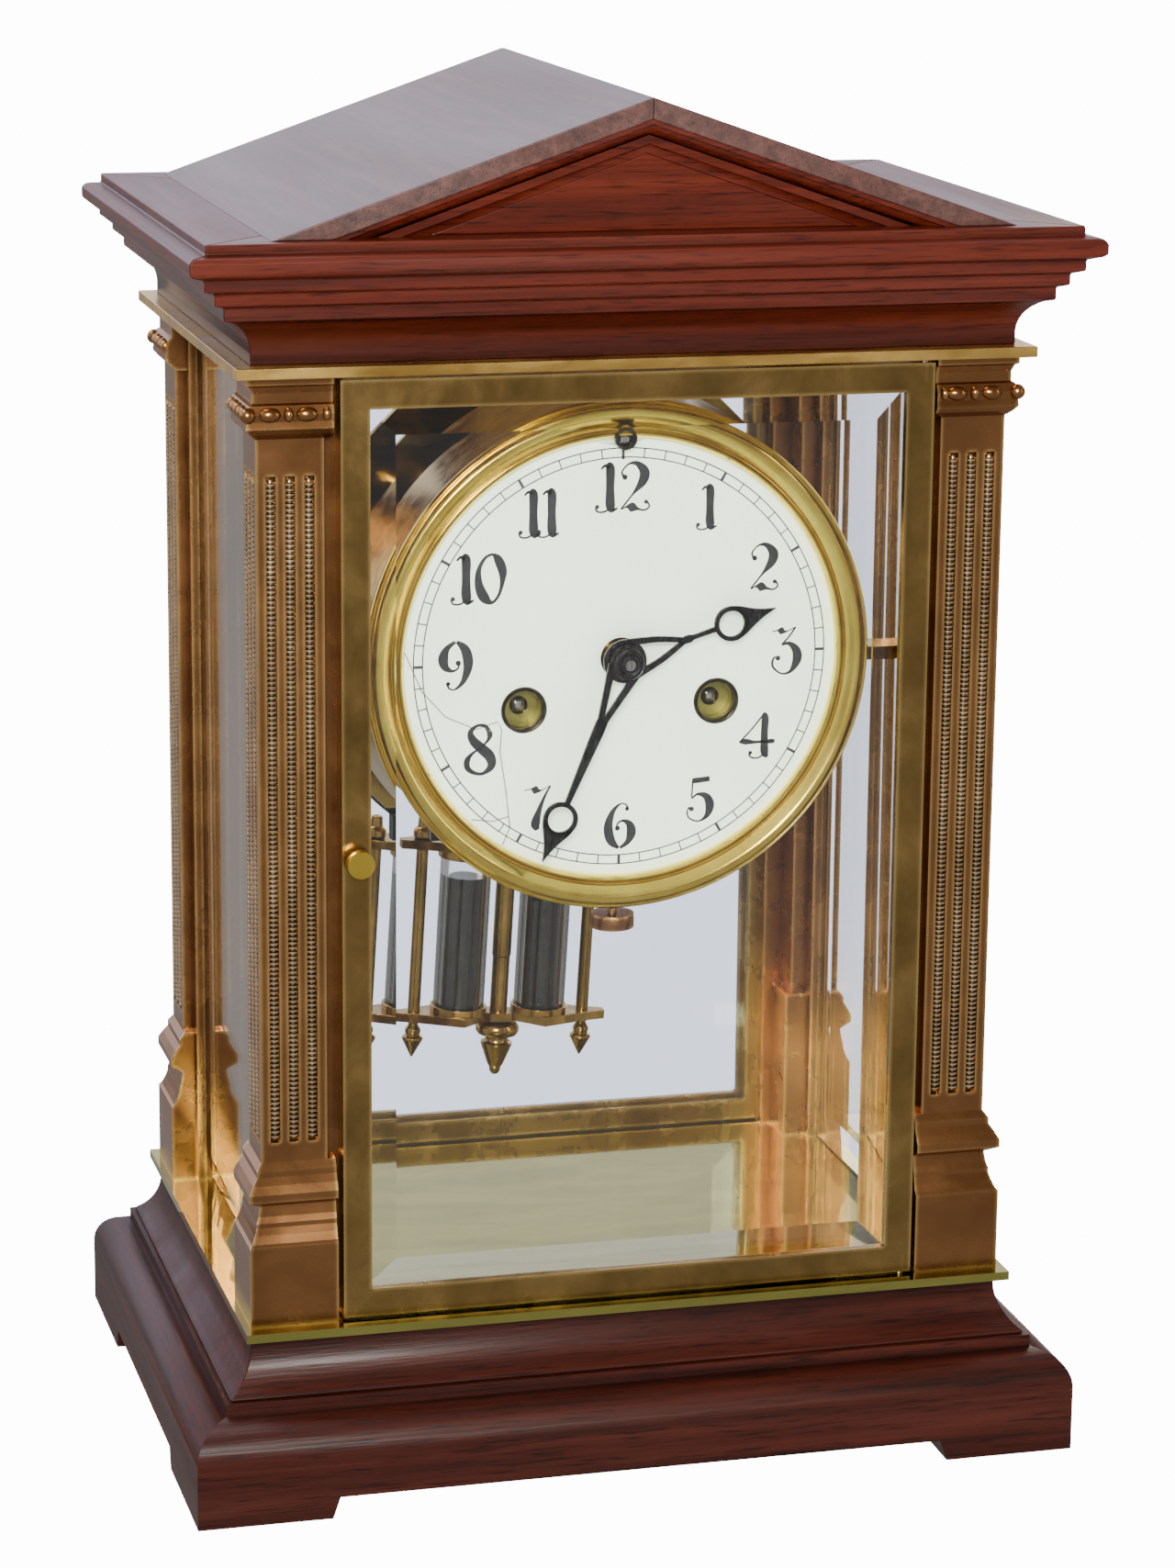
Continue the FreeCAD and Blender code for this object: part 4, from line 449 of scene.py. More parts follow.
class Shape:
    """Faces gathered in millimetres, and made into one object at the end."""

    def __init__(self):
        self.verts = []
        self.faces = []

    def add(self, verts, faces):
        first = len(self.verts)
        self.verts += [Vector(vert) for vert in verts]
        self.faces += [tuple(first + index for index in face) for face in faces]

    def skin(self, rows, round_rows=True, round_points=True):
        """Faces between rows of points; the ends of what isn't round get a cap."""
        total, count = len(rows), len(rows[0])
        faces = []
        for row in range(total if round_rows else total - 1):
            ahead = (row + 1) % total
            for index in range(count if round_points else count - 1):
                after = (index + 1) % count
                faces.append((row * count + index, ahead * count + index,
                              ahead * count + after, row * count + after))
        if not round_points:
            faces += [tuple(row * count + end for row in range(total)) for end in (0, count - 1)]
        if not round_rows:
            faces += [tuple(row * count + i for i in range(count)) for row in (0, total - 1)]
        self.add([point for row in rows for point in row], faces)

    def lathe(self, outline, centre, axis, steps):
        """A closed outline of (radius, height) turned about the y or z axis."""
        rows = []
        for step in range(steps):
            angle = 2 * math.pi * step / steps
            row = []
            for radius, height in outline:
                across, over = radius * math.cos(angle), radius * math.sin(angle)
                local = (across, over, height) if axis == "z" else (across, height, over)
                row.append([a + b for a, b in zip(local, centre)])
            rows.append(row)
        self.skin(rows)

    def ball(self, centre, radii, rings=8, sides=14):
        """An ellipsoid, with its poles up and down."""
        verts = [(centre[0], centre[1], centre[2] - radii[2])]
        for ring in range(1, rings):
            height = -math.cos(math.pi * ring / rings)
            wide = math.sin(math.pi * ring / rings)
            for side in range(sides):
                angle = 2 * math.pi * side / sides
                verts.append((centre[0] + radii[0] * wide * math.cos(angle),
                              centre[1] + radii[1] * wide * math.sin(angle),
                              centre[2] + radii[2] * height))
        verts.append((centre[0], centre[1], centre[2] + radii[2]))
        faces = []
        for side in range(sides):
            after = (side + 1) % sides
            faces.append((0, 1 + after, 1 + side))
            for ring in range(rings - 2):
                base = 1 + ring * sides
                faces.append((base + side, base + after, base + sides + after, base + sides + side))
            base = 1 + (rings - 2) * sides
            faces.append((len(verts) - 1, base + side, base + after))
        self.add(verts, faces)

    def band(self, left, right, y_front, y_back, closed=False):
        """A flat strip between two rows of (x, z) points, with a thickness in y."""
        count = len(left)
        verts = [(x, y, z) for row, y in ((left, y_front), (right, y_front), (left, y_back),
                                          (right, y_back)) for x, z in row]
        faces = []
        for index in range(count if closed else count - 1):
            after = (index + 1) % count
            faces += [(index, after, count + after, count + index),
                      (2 * count + index, 3 * count + index, 3 * count + after, 2 * count + after),
                      (index, 2 * count + index, 2 * count + after, after),
                      (count + index, count + after, 3 * count + after, 3 * count + index)]
        if not closed:
            for index in (0, count - 1):
                faces.append((index, count + index, 3 * count + index, 2 * count + index))
        self.add(verts, faces)

    def stroke(self, points, y_front, y_back, steps=6):
        """A smooth pen stroke through (x, z, width) points."""
        smooth = []
        for index in range(len(points) - 1):
            p0 = points[max(index - 1, 0)]
            p1, p2 = points[index], points[index + 1]
            p3 = points[min(index + 2, len(points) - 1)]
            for step in range(steps):
                t = step / steps
                smooth.append([0.5 * (2 * b + (c - a) * t + (2 * a - 5 * b + 4 * c - d) * t * t
                                      + (3 * b - a - 3 * c + d) * t ** 3)
                               for a, b, c, d in zip(p0, p1, p2, p3)])
        smooth.append(list(points[-1]))
        left, right = [], []
        for index, (x, z, width) in enumerate(smooth):
            before = smooth[max(index - 1, 0)]
            after = smooth[min(index + 1, len(smooth) - 1)]
            dx, dz = after[0] - before[0], after[1] - before[1]
            length = math.hypot(dx, dz) or 1.0
            half = max(width, 0.02) / 2
            left.append((x - dz / length * half, z + dx / length * half))
            right.append((x + dz / length * half, z - dx / length * half))
        self.band(left, right, y_front, y_back)

    def ring(self, centre, outer, inner, y_front, y_back, steps=96):
        """A flat ring about an (x, z) centre."""
        rows = []
        for radius in (outer, inner):
            rows.append([(centre[0] + radius * math.cos(2 * math.pi * i / steps),
                          centre[1] + radius * math.sin(2 * math.pi * i / steps))
                         for i in range(steps)])
        self.band(rows[0], rows[1], y_front, y_back, closed=True)

    def make(self, name, material, body, matrix=None, sharp=38, bevel=0.0):
        """Turn the faces into a piece that rides on a body; sharp is in degrees."""
        mesh = bpy.data.meshes.new(name)
        mesh.from_pydata([tuple(v * MM) for v in self.verts], [], self.faces)
        work = bmesh.new()
        work.from_mesh(mesh)
        bmesh.ops.recalc_face_normals(work, faces=work.faces)
        work.to_mesh(mesh)
        work.free()
        if matrix:
            mesh.transform(matrix)
        mesh.shade_smooth()
        mesh.set_sharp_from_angle(angle=math.radians(sharp))
        mesh.materials.append(material)
        piece = bpy.data.objects.new(name, mesh)
        bpy.context.scene.collection.objects.link(piece)
        if bevel:
            soften(piece, bevel)
        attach(piece, body)
        return piece


SOFTENED_ANGLE = 32         # degrees: edges sharper than this are rounded off


def soften(piece, width):
    """Round off the sharp edges by a fraction of a millimetre."""
    rounding = piece.modifiers.new("rounding", "BEVEL")
    rounding.width = width * MM
    rounding.segments = 2
    rounding.limit_method = "ANGLE"
    rounding.angle_limit = math.radians(SOFTENED_ANGLE)
    rounding.harden_normals = True
    rounding.miter_outer = "MITER_ARC"


WELD_REACH = 0.000002       # metres


def finish_node(node, material, bevel=0.0):
    """Give a CAD piece its own material, and soften its edges if asked."""
    piece = NODES[node]
    piece.data.materials.clear()
    piece.data.materials.append(material)
    if bevel:
        weld = piece.modifiers.new("weld", "WELD")
        weld.merge_threshold = WELD_REACH
        soften(piece, bevel)


make_camera()
make_world()
make_floor()
area_light("key", (-0.42, -1.40, 0.75), (0, 0, 0.18), (0.35, 0.35), 42, (1.0, 0.98, 0.94))
area_light("side", (1.15, -0.75, 0.55), (0, 0, 0.15), (0.25, 0.9), 2, (1.0, 0.93, 0.82))
area_light("overhead", (-0.45, 0.25, 1.25), (0, 0, 0.2), (0.7, 0.7), 7, (0.94, 0.95, 1.0))
area_light("behind", (0.75, 0.95, 0.30), (0, 0, 0.12), (0.5, 0.5), 2.5, (1.0, 0.88, 0.62))

# ---- Wood, brass case and glass: the CAD pieces with their finishes ----

WOOD_GRAIN = {
    "base_front_moulding": "x", "base_rear_moulding": "x", "base_left_moulding": "y",
    "base_right_moulding": "y", "base_board": "x", "cornice_front_moulding": "x",
    "cornice_rear_moulding": "x", "cornice_left_moulding": "y", "cornice_right_moulding": "y",
    "cornice_board": "x", "front_gable_panel": "x", "rear_gable_panel": "x", "raking_mouldings": "x",
}
for node, grain in WOOD_GRAIN.items():
    finish_node(node, (WOOD_BASE if node.startswith("base") else WOOD)[grain], 0.35)
for node in ("roof_left_board", "roof_right_board"):
    finish_node(node, WOOD_ROOF, 0.35)

POSTS = ["post_front_left", "post_front_right", "post_rear_left", "post_rear_right"]
for node in POSTS:
    finish_node(node, BRONZE, 0.22)
finish_node("base_plate", PLATE_BRASS)
finish_node("top_plate", EDGE_BRASS, 0.2)
for end in ("front", "rear"):
    finish_node(end + "_door_frame", DOOR_BRASS, 0.25)
    finish_node(end + "_door_glass", PANE)
    finish_node(end + "_hinge_pins", BRIGHT_STEEL)
    finish_node(end + "_latch", GILT, 0.25)
finish_node("left_glass", PANE)
finish_node("right_glass", PANE)
for node in ("movement_drum", "movement_brackets", "front_plate", "rear_plate", "suspension_cock",
             "going_barrel", "strike_barrel", "third_wheel", "escape_wheel",
             "minute_wheel", "hour_wheel"):
    finish_node(node, MOVEMENT_BRASS)
finish_node("drum_clamp_screw", BRONZE, 0.3)
for node in ("case_screws", "anchor", "hammer", "gong"):
    finish_node(node, BLUED)
for node in ("going_winding_arbor", "strike_winding_arbor", "regulator_arbor", "centre_arbor"):
    finish_node(node, BRIGHT_STEEL)
finish_node("dial", PORCELAIN, 0.2)
finish_node("mercury_vials", VIAL)
finish_node("mercury_columns", MERCURY)


RAKE_DROP, RAKE_DEPTH = 12.1, 9.0


def make_raking_mouldings():
    """The moulding under the roof's sloping edges: fillet, cove, flat band and step."""
    low, high = box_mm("roof_left_board")
    half, base, ridge, end = -low[0], low[2], high[2], high[1]
    slope = (ridge - base) / half
    board = ridge - box_mm("raking_mouldings")[1][2]
    panel = end - RAKE_DEPTH
    # (drop below the roof's surface, distance out from the panel)
    section = [(board, 0.0), (board, 8.4), (board + 1.0, 8.4), (board + 1.1, 7.5), (board + 1.7, 7.3),
               (board + 2.4, 6.7), (board + 3.0, 5.8), (board + 3.4, 4.9), (board + 3.5, 5.6),
               (board + 5.3, 5.6), (board + 5.4, 4.7), (board + 6.0, 4.3), (RAKE_DROP, 4.1),
               (RAKE_DROP, 0.0)]
    rakes = Shape()
    for sign in (-1, 1):
        rows = []
        for drop, out in section:
            y = sign * (panel + out)
            foot = half - drop / slope
            rows.append([(-foot, y, base), (0, y, ridge - drop), (foot, y, base)])
        rakes.skin(rows, round_points=False)
    piece = rakes.make("raking_mouldings_run", WOOD["x"], "clock_case", sharp=30)
    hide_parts("raking_mouldings")


make_raking_mouldings()

# ---- Posts: ribbed rods in the flutes, and the egg-and-bead band ----

BLOCK = 3.3                 # the block stands this far out from the shaft
SHAFT = 14.8
FLUTE_PITCH = 4.2
FLUTE_LOW, FLUTE_TOP = 82.5, 231.0
ROD_MARGIN = 0.5            # the rods end this far inside the flutes
ROD_SINK = 0.8              # and their axes lie this far inside the shaft's face
RIB_PITCH = 1.1
BAND_DROP = 8.1             # the egg band runs this far below the post's top
BAND_REACH = 2.0            # and this far out from the shaft
BAND_END = 7.6              # its last bead lies this far in from the face's middle


def post_frames():
    """Each post's outer shaft faces, and the signs that point outwards."""
    for node in POSTS:
        low, high = box_mm(node)
        sx = -1 if "left" in node else 1
        sy = -1 if "front" in node else 1
        outer_x = (low[0] if sx < 0 else high[0]) - sx * BLOCK
        outer_y = (low[1] if sy < 0 else high[1]) - sy * BLOCK
        yield node, sx, sy, outer_x, outer_y, high[2]


def ribbed_outline(length):
    """A rod with round ends and a rib every so often, as (radius, height)."""
    outline = [(0.02, 0.0), (0.55, 0.25)]
    ribs = int((length - 1.2) / RIB_PITCH)
    for rib in range(ribs):
        height = 0.6 + rib * RIB_PITCH
        outline += [(0.60, height), (1.22, height + 0.2), (1.22, height + 0.6), (0.60, height + 0.8)]
    outline += [(0.55, length - 0.25), (0.02, length)]
    return outline


def make_post_details():
    """Three ribbed rods and half an egg-and-bead band on each outer face of a post."""
    low_z, top_z = FLUTE_LOW + ROD_MARGIN, FLUTE_TOP - ROD_MARGIN
    outline = ribbed_outline(top_z - low_z)
    for node, sx, sy, outer_x, outer_y, top in post_frames():
        rods = Shape()
        middle_x = outer_x - sx * SHAFT / 2
        middle_y = outer_y - sy * SHAFT / 2
        for step in (-1, 0, 1):
            shift = step * FLUTE_PITCH
            rods.lathe(outline, (middle_x + shift, outer_y - sy * ROD_SINK, low_z), "z", 12)
            rods.lathe(outline, (outer_x - sx * ROD_SINK, middle_y + shift, low_z), "z", 12)
        rods.make(node + "_ribbed_rods", ROD_BRASS, "clock_case", sharp=60)

        eggs = Shape()
        height = top - BAND_DROP
        band_x, band_y = outer_x + sx * BAND_REACH, outer_y + sy * BAND_REACH
        eggs.ball((band_x, band_y, height), (1.8, 1.8, 1.75))
        for shift, long in ((-4.6, 2.5), (-0.6, 1.15), (3.4, 2.5)):
            eggs.ball((middle_x + shift, band_y, height), (long, 1.6, 1.6))
            eggs.ball((band_x, middle_y + shift, height), (1.6, long, 1.6))
        eggs.ball((middle_x - sx * BAND_END, band_y, height), (1.0, 1.4, 1.5))
        eggs.ball((band_x, middle_y - sy * BAND_END, height), (1.4, 1.0, 1.5))
        eggs.make(node + "_egg_band", BRONZE, "clock_case", sharp=60)


make_post_details()

# ---- Dial, bezel and hands ----

dial_low, dial_high = box_mm("dial")
DIAL_RADIUS = (dial_high[0] - dial_low[0]) / 2
DIAL_Z = dial_low[2] + DIAL_RADIUS
DIAL_Y = dial_low[1]
TRACK_OUTER, TRACK_INNER = 47.1, 45.05
NUMERAL_RADIUS, NUMERAL_HEIGHT = 38.4, 10.4
INK_FRONT = DIAL_Y - 0.03   # fired ink stands a little out of the glaze
INK_BACK = DIAL_Y + 0.05
PEN_WIDTH = 1.24            # share of the widths in the table below
TRACK_LINE, FIVE_MINUTE_LINE = 0.27, 0.66
TWELVE_REACH = 0.5          # the line at XII runs this far past the track
CRACK_WIDTH, CRACK_FRONT = 0.30, DIAL_Y - 0.012
BEZEL_LAP = 0.9             # the bezel covers this much of the dial's edge


def on_dial(radius, degrees):
    """(x, z) at an angle clockwise from XII."""
    angle = math.radians(degrees)
    return radius * math.sin(angle), DIAL_Z + radius * math.cos(angle)


# Pen strokes of the digits as (x, height, width) and the balls that end them as
# (x, height, radius), in shares of a digit's height.
SIX = ([[(0.50, 0.86, 0.03), (0.46, 0.96, 0.03), (0.34, 0.99, 0.03), (0.18, 0.85, 0.08),
         (0.08, 0.60, 0.14), (0.07, 0.38, 0.17), (0.14, 0.16, 0.15), (0.30, 0.01, 0.05)],
        [(0.24, 0.44, 0.03), (0.28, 0.56, 0.03), (0.40, 0.61, 0.05), (0.54, 0.52, 0.13),
         (0.58, 0.34, 0.17), (0.50, 0.14, 0.10), (0.33, 0.01, 0.05)]],
       [(0.27, 0.45, 0.055), (0.48, 0.87, 0.045)])
DIGITS = {
    "0": ([[(0.38, 0.99, 0.04), (0.22, 0.92, 0.05), (0.09, 0.68, 0.08), (0.09, 0.38, 0.14),
            (0.20, 0.12, 0.17), (0.36, 0.01, 0.06), (0.50, 0.16, 0.05), (0.57, 0.42, 0.08),
            (0.57, 0.66, 0.15), (0.48, 0.88, 0.14), (0.38, 0.99, 0.04)]], []),
    "1": ([[(0.27, 1.00, 0.04), (0.33, 0.90, 0.15), (0.33, 0.50, 0.14), (0.34, 0.12, 0.16),
            (0.40, 0.00, 0.07)],
           [(0.14, 0.88, 0.03), (0.22, 0.95, 0.05), (0.31, 0.90, 0.08)],
           [(0.33, 0.07, 0.03), (0.20, 0.00, 0.03), (0.07, 0.01, 0.03), (0.02, 0.09, 0.03)],
           [(0.38, 0.02, 0.06), (0.49, 0.07, 0.03)]], [(0.06, 0.11, 0.045)]),
    "2": ([[(0.08, 0.70, 0.04), (0.04, 0.82, 0.03), (0.18, 0.97, 0.03), (0.36, 0.97, 0.09),
            (0.51, 0.80, 0.17), (0.47, 0.60, 0.15), (0.28, 0.36, 0.04), (0.10, 0.14, 0.03),
            (0.02, 0.04, 0.03)],
           [(0.03, 0.04, 0.02), (0.14, 0.09, 0.04), (0.25, 0.08, 0.16), (0.38, 0.04, 0.05),
            (0.52, 0.01, 0.03), (0.62, 0.08, 0.03), (0.58, 0.18, 0.03)]],
          [(0.10, 0.70, 0.055), (0.55, 0.18, 0.045)]),
    "3": ([[(0.00, 0.92, 0.02), (0.12, 0.94, 0.03), (0.20, 0.93, 0.13), (0.31, 0.91, 0.03),
            (0.52, 1.00, 0.02)],
           [(0.52, 1.00, 0.03), (0.38, 0.80, 0.03), (0.22, 0.63, 0.03)],
           [(0.22, 0.62, 0.03), (0.38, 0.65, 0.07), (0.54, 0.50, 0.15), (0.56, 0.28, 0.16),
            (0.42, 0.04, 0.06), (0.22, 0.00, 0.03), (0.04, 0.14, 0.04), (0.02, 0.28, 0.04),
            (0.08, 0.38, 0.03)]], [(0.14, 0.34, 0.055)]),
    "4": ([[(0.54, 1.00, 0.03), (0.59, 0.90, 0.13), (0.58, 0.50, 0.13), (0.59, 0.12, 0.15),
            (0.66, 0.00, 0.05)],
           [(0.56, 0.98, 0.03), (0.30, 0.66, 0.03), (0.02, 0.37, 0.03)],
           [(0.00, 0.36, 0.02), (0.14, 0.37, 0.11), (0.34, 0.35, 0.06), (0.58, 0.35, 0.05),
            (0.72, 0.35, 0.09), (0.82, 0.36, 0.06)],
           [(0.57, 0.07, 0.03), (0.44, -0.01, 0.03), (0.30, 0.00, 0.03), (0.22, 0.08, 0.03)]],
          [(0.26, 0.11, 0.045)]),
    "5": ([[(0.12, 0.94, 0.03), (0.16, 0.94, 0.10), (0.34, 0.95, 0.10), (0.54, 0.97, 0.10)],
           [(0.14, 0.95, 0.03), (0.12, 0.55, 0.03)],
           [(0.12, 0.52, 0.03), (0.26, 0.62, 0.05), (0.46, 0.56, 0.13), (0.55, 0.36, 0.17),
            (0.50, 0.14, 0.11), (0.36, 0.01, 0.04), (0.20, 0.00, 0.03), (0.05, 0.09, 0.03),
            (0.02, 0.23, 0.03), (0.07, 0.33, 0.03)]], [(0.12, 0.28, 0.055)]),
    "6": SIX,
    "7": ([[(0.00, 0.92, 0.02), (0.16, 0.94, 0.03), (0.25, 0.92, 0.15), (0.38, 0.90, 0.03),
            (0.60, 1.00, 0.02)],
           [(0.60, 1.00, 0.03), (0.46, 0.74, 0.05), (0.34, 0.44, 0.10), (0.26, 0.14, 0.17),
            (0.31, 0.00, 0.08)]], []),
    "8": ([[(0.50, 0.86, 0.08), (0.42, 0.97, 0.06), (0.26, 0.98, 0.05), (0.13, 0.86, 0.09),
            (0.18, 0.69, 0.14), (0.36, 0.51, 0.17), (0.52, 0.35, 0.17), (0.55, 0.16, 0.13),
            (0.40, 0.02, 0.06), (0.24, 0.02, 0.06), (0.08, 0.12, 0.09), (0.06, 0.28, 0.10),
            (0.16, 0.42, 0.05), (0.34, 0.54, 0.03), (0.48, 0.68, 0.05), (0.52, 0.78, 0.09),
            (0.50, 0.86, 0.08)]], []),
    "9": ([[(0.64 - x, 1.0 - z, w) for x, z, w in stroke] for stroke in SIX[0]],
          [(0.64 - x, 1.0 - z, w) for x, z, w in SIX[1]]),
}
DIGIT_WIDTH = {"0": 0.64, "1": 0.50, "2": 0.62, "3": 0.62, "4": 0.84, "5": 0.62, "6": 0.65,
               "7": 0.62, "8": 0.62, "9": 0.65}
# where the second digit starts, as a share of the height
SECOND_DIGIT = {"10": 0.50, "11": 0.39, "12": 0.54}
# the painter's own unevenness: size, and millimetres to the right
UNEVEN = {1: (0.96, 0.0), 2: (1.01, -0.5), 3: (1.01, -0.2), 4: (0.98, -1.3), 5: (0.95, -0.5),
          6: (1.0, 0.2), 7: (0.96, 0.4), 8: (1.08, 1.1), 9: (1.05, 0.9), 10: (1.06, 0.6),
          11: (1.02, 0.2), 12: (1.04, -0.2)}


def make_numerals():
    ink = Shape()
    front, back = INK_FRONT, INK_BACK
    for hour in range(1, 13):
        text = str(hour)
        size, shift = UNEVEN[hour]
        size *= NUMERAL_HEIGHT
        starts = [0.0, SECOND_DIGIT.get(text, 0.0)][:len(text)]
        centre_x, centre_z = on_dial(NUMERAL_RADIUS, hour * 30)
        left = centre_x + shift - (starts[-1] + DIGIT_WIDTH[text[-1]]) * size / 2
        for digit, start in zip(text, starts):
            strokes, balls = DIGITS[digit]
            for stroke in strokes:
                ink.stroke([(left + (start + x) * size, centre_z + (z - 0.5) * size,
                             w * size * PEN_WIDTH) for x, z, w in stroke], front, back)
            for x, z, radius in balls:
                radius *= size
                ink.lathe([(0.02, front - DIAL_Y), (radius, front - DIAL_Y),
                           (radius, back - DIAL_Y), (0.02, back - DIAL_Y)],
                          (left + (start + x) * size, DIAL_Y, centre_z + (z - 0.5) * size), "y", 20)
    ink.make("dial_numerals", INK, "clock_case", sharp=60)


def make_minute_track():
    track = Shape()
    front, back = INK_FRONT, INK_BACK
    for radius in (TRACK_OUTER, TRACK_INNER):
        track.ring((0, DIAL_Z), radius + TRACK_LINE / 2, radius - TRACK_LINE / 2, front, back, 180)
    for minute in range(60):
        width = FIVE_MINUTE_LINE if minute % 5 == 0 else TRACK_LINE
        reach = TWELVE_REACH if minute == 0 else 0.0
        x0, z0 = on_dial(TRACK_INNER - reach, minute * 6)
        x1, z1 = on_dial(TRACK_OUTER, minute * 6)
        track.stroke([(x0, z0, width), (x1, z1, width)], front, back, 1)
    track.make("dial_minute_track", TRACK_INK, "clock_case", sharp=60)


def make_cracks():
    """Two hairline cracks in the porcelain, from IX past VIII to VII."""
    lines = Shape()
    for crack in (((49.2, 274), (45.5, 263), (41.5, 254), (36.0, 246), (31.0, 245), (31.0, 241),
                   (34.0, 234), (39.0, 222), (45.0, 214), (49.2, 213)),
                  ((43.0, 216), (46.0, 219), (48.8, 224))):
        points = [(*on_dial(radius, degrees), CRACK_WIDTH) for radius, degrees in crack]
        lines.stroke(points, CRACK_FRONT, INK_BACK, 1)
    lines.make("dial_cracks", CRACK, "clock_case", sharp=60)


def make_bezel():
    """A turned ring: rolled edge, broad convex face, and fine beads next to the dial."""
    low, high = box_mm("bezel")
    outer = (high[0] - low[0]) / 2
    front, back = low[1], high[1]
    depth = back - front
    inner = DIAL_RADIUS - BEZEL_LAP
    outline = [(inner, back), (outer - 0.5, back), (outer, back - 0.5), (outer, back - 1.5),
               (outer - 0.35, back - 1.9), (outer - 0.8, back - 1.75), (outer - 1.1, back - 2.2)]
    for step in range(11):
        share = step / 10
        swell = math.sin(math.pi * (0.08 + 0.84 * share)) ** 0.7
        outline.append((outer - 1.1 - share * 2.9, back - 2.4 - (depth - 2.4) * swell))
    outline += [(inner + 2.25, back - 2.1), (inner + 2.0, back - 1.8), (inner + 1.85, back - 2.1),
                (inner + 1.55, back - 2.2), (inner + 1.4, back - 1.8), (inner + 1.2, back - 1.6),
                (inner + 1.05, back - 1.9), (inner + 0.7, back - 1.9), (inner + 0.45, back - 1.5),
                (inner, back - 0.9)]
    ring = Shape()
    ring.lathe(outline, (0, 0, DIAL_Z), "y", 160)
    piece = ring.make("bezel_turned", GILT, "clock_case", sharp=50)
    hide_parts("bezel")


HOLE, HOLE_WALL, CUP_DEPTH = 4.3, 4.62, 5.4
SQUARE_HALF, SQUARE_CORNER = 1.55, 1.98


def make_eyelets():
    """Rolled rings round the winding holes and the regulator, and the squares inside them."""
    rings = Shape()
    for side in ("going", "strike"):
        low, high = box_mm(side + "_winding_arbor")
        centre = ((low[0] + high[0]) / 2, DIAL_Y, (low[2] + high[2]) / 2)
        rings.lathe([(HOLE, 2.2), (HOLE_WALL, 2.2), (4.66, 0.3), (5.1, 0.1), (5.25, -0.2),
                     (5.05, -0.5), (4.75, -0.42), (4.65, -0.62), (4.45, -0.5), (HOLE, 0.2)],
                    centre, "y", 64)
        cup = Shape()
        cup.lathe([(2.1, CUP_DEPTH), (HOLE, CUP_DEPTH), (HOLE, 5.0), (2.1, 5.0)], centre, "y", 48)
        cup.lathe([(HOLE, CUP_DEPTH), (HOLE_WALL, CUP_DEPTH), (HOLE_WALL, 2.3), (HOLE, 2.3)],
                  centre, "y", 48)
        cup.make(side + "_winding_cup", OLIVE, "clock_case")
        square_end = Shape()
        steps = 24
        rows = []
        # (share of the square's width, depth behind the dial)
        for share, depth in ((0.02, 4.55), (0.30, 4.60), (0.62, 4.75), (0.88, 5.05), (1.0, 5.5),
                             (1.0, 7.0)):
            row = []
            for step in range(steps):
                angle = 2 * math.pi * step / steps
                reach = SQUARE_HALF / max(abs(math.cos(angle)), abs(math.sin(angle)))
                reach = min(reach, SQUARE_CORNER) * share
                row.append((centre[0] + reach * math.cos(angle), centre[1] + depth,
                            centre[2] + reach * math.sin(angle)))
            rows.append(row)
        square_end.skin(rows, round_rows=False)
        square_end.make(side + "_winding_end", BRIGHT_STEEL, side + "_winder")
    rings.lathe([(1.7, 2.9), (2.3, 2.9), (2.3, 0.2), (2.55, -0.2), (2.4, -0.6), (1.9, -0.6),
                 (1.7, -0.2)],
                (0, DIAL_Y - 2.2, DIAL_Z + DIAL_RADIUS - BEZEL_LAP), "y", 32)
    rings.make("dial_eyelets", RIM, "clock_case")


RING_OUTER, RING_HOLE = 3.95, 2.9
POINT_STEPS = 16
HOUR_ANGLE, MINUTE_ANGLE = 73.0, 203.3  # degrees clockwise from XII


def hand(name, node, body, degrees, ring_at, merge, tip, hub, bore, legs, neck):
    """A hand with two legs that meet, a pierced circle and a swelling point.

    Lengths run from the centre: legs meet at merge, the circle lies at ring_at
    and the point ends at tip.  legs and neck are widths, hub and bore radii.
    """
    outer, hole = RING_OUTER, RING_HOLE
    low, high = box_mm(node)
    front, back = low[1], high[1]
    steel = Shape()
    base = hub * 0.80
    for side in (-1, 1):
        steel.stroke([(side * base, hub * 0.35, legs * 1.15), (side * base * 0.60, hub + 3.4, legs),
                      (side * 0.35, merge, legs * 0.9)], front, back, 5)
    steel.stroke([(0, merge - 0.9, neck * 0.9), (0, merge + 2.0, neck),
                  (0, ring_at - outer - 5, neck * 0.62), (0, ring_at - outer + 0.5, 1.15)],
                 front, back, 5)
    steel.ring((0, ring_at), outer, hole, front, back, 64)
    # the point: each half runs from the circle's flank out to the tip
    bends = ((0.94 * outer, 0.34 * outer), (0.80 * outer, 0.95 * outer),
             (0.28 * outer, 1.35 * outer), (0.05, tip - ring_at))
    for side in (-1, 1):
        flank, inside = [], []
        for step in range(POINT_STEPS + 1):
            t = step / POINT_STEPS
            shares = ((1 - t) ** 3, 3 * t * (1 - t) ** 2, 3 * t * t * (1 - t), t ** 3)
            x = sum(share * bend[0] for share, bend in zip(shares, bends))
            z = sum(share * bend[1] for share, bend in zip(shares, bends))
            flank.append((side * x, ring_at + z))
            inside.append((side * math.sqrt(max((hole + 0.2) ** 2 - z * z, 0.0)), ring_at + z))
        steel.band(flank, inside, front, back)
    steel.lathe([(bore, front - 0.15), (hub - 0.3, front - 0.15), (hub, front + 0.1), (hub, back),
                 (bore, back)], (0, 0, 0), "y", 48)
    turn = Matrix.Translation((0, 0, DIAL_Z * MM)) @ Matrix.Rotation(math.radians(degrees), 4, "Y")
    piece = steel.make(name, BLUED, body, matrix=turn, bevel=0.12)
    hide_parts(node)


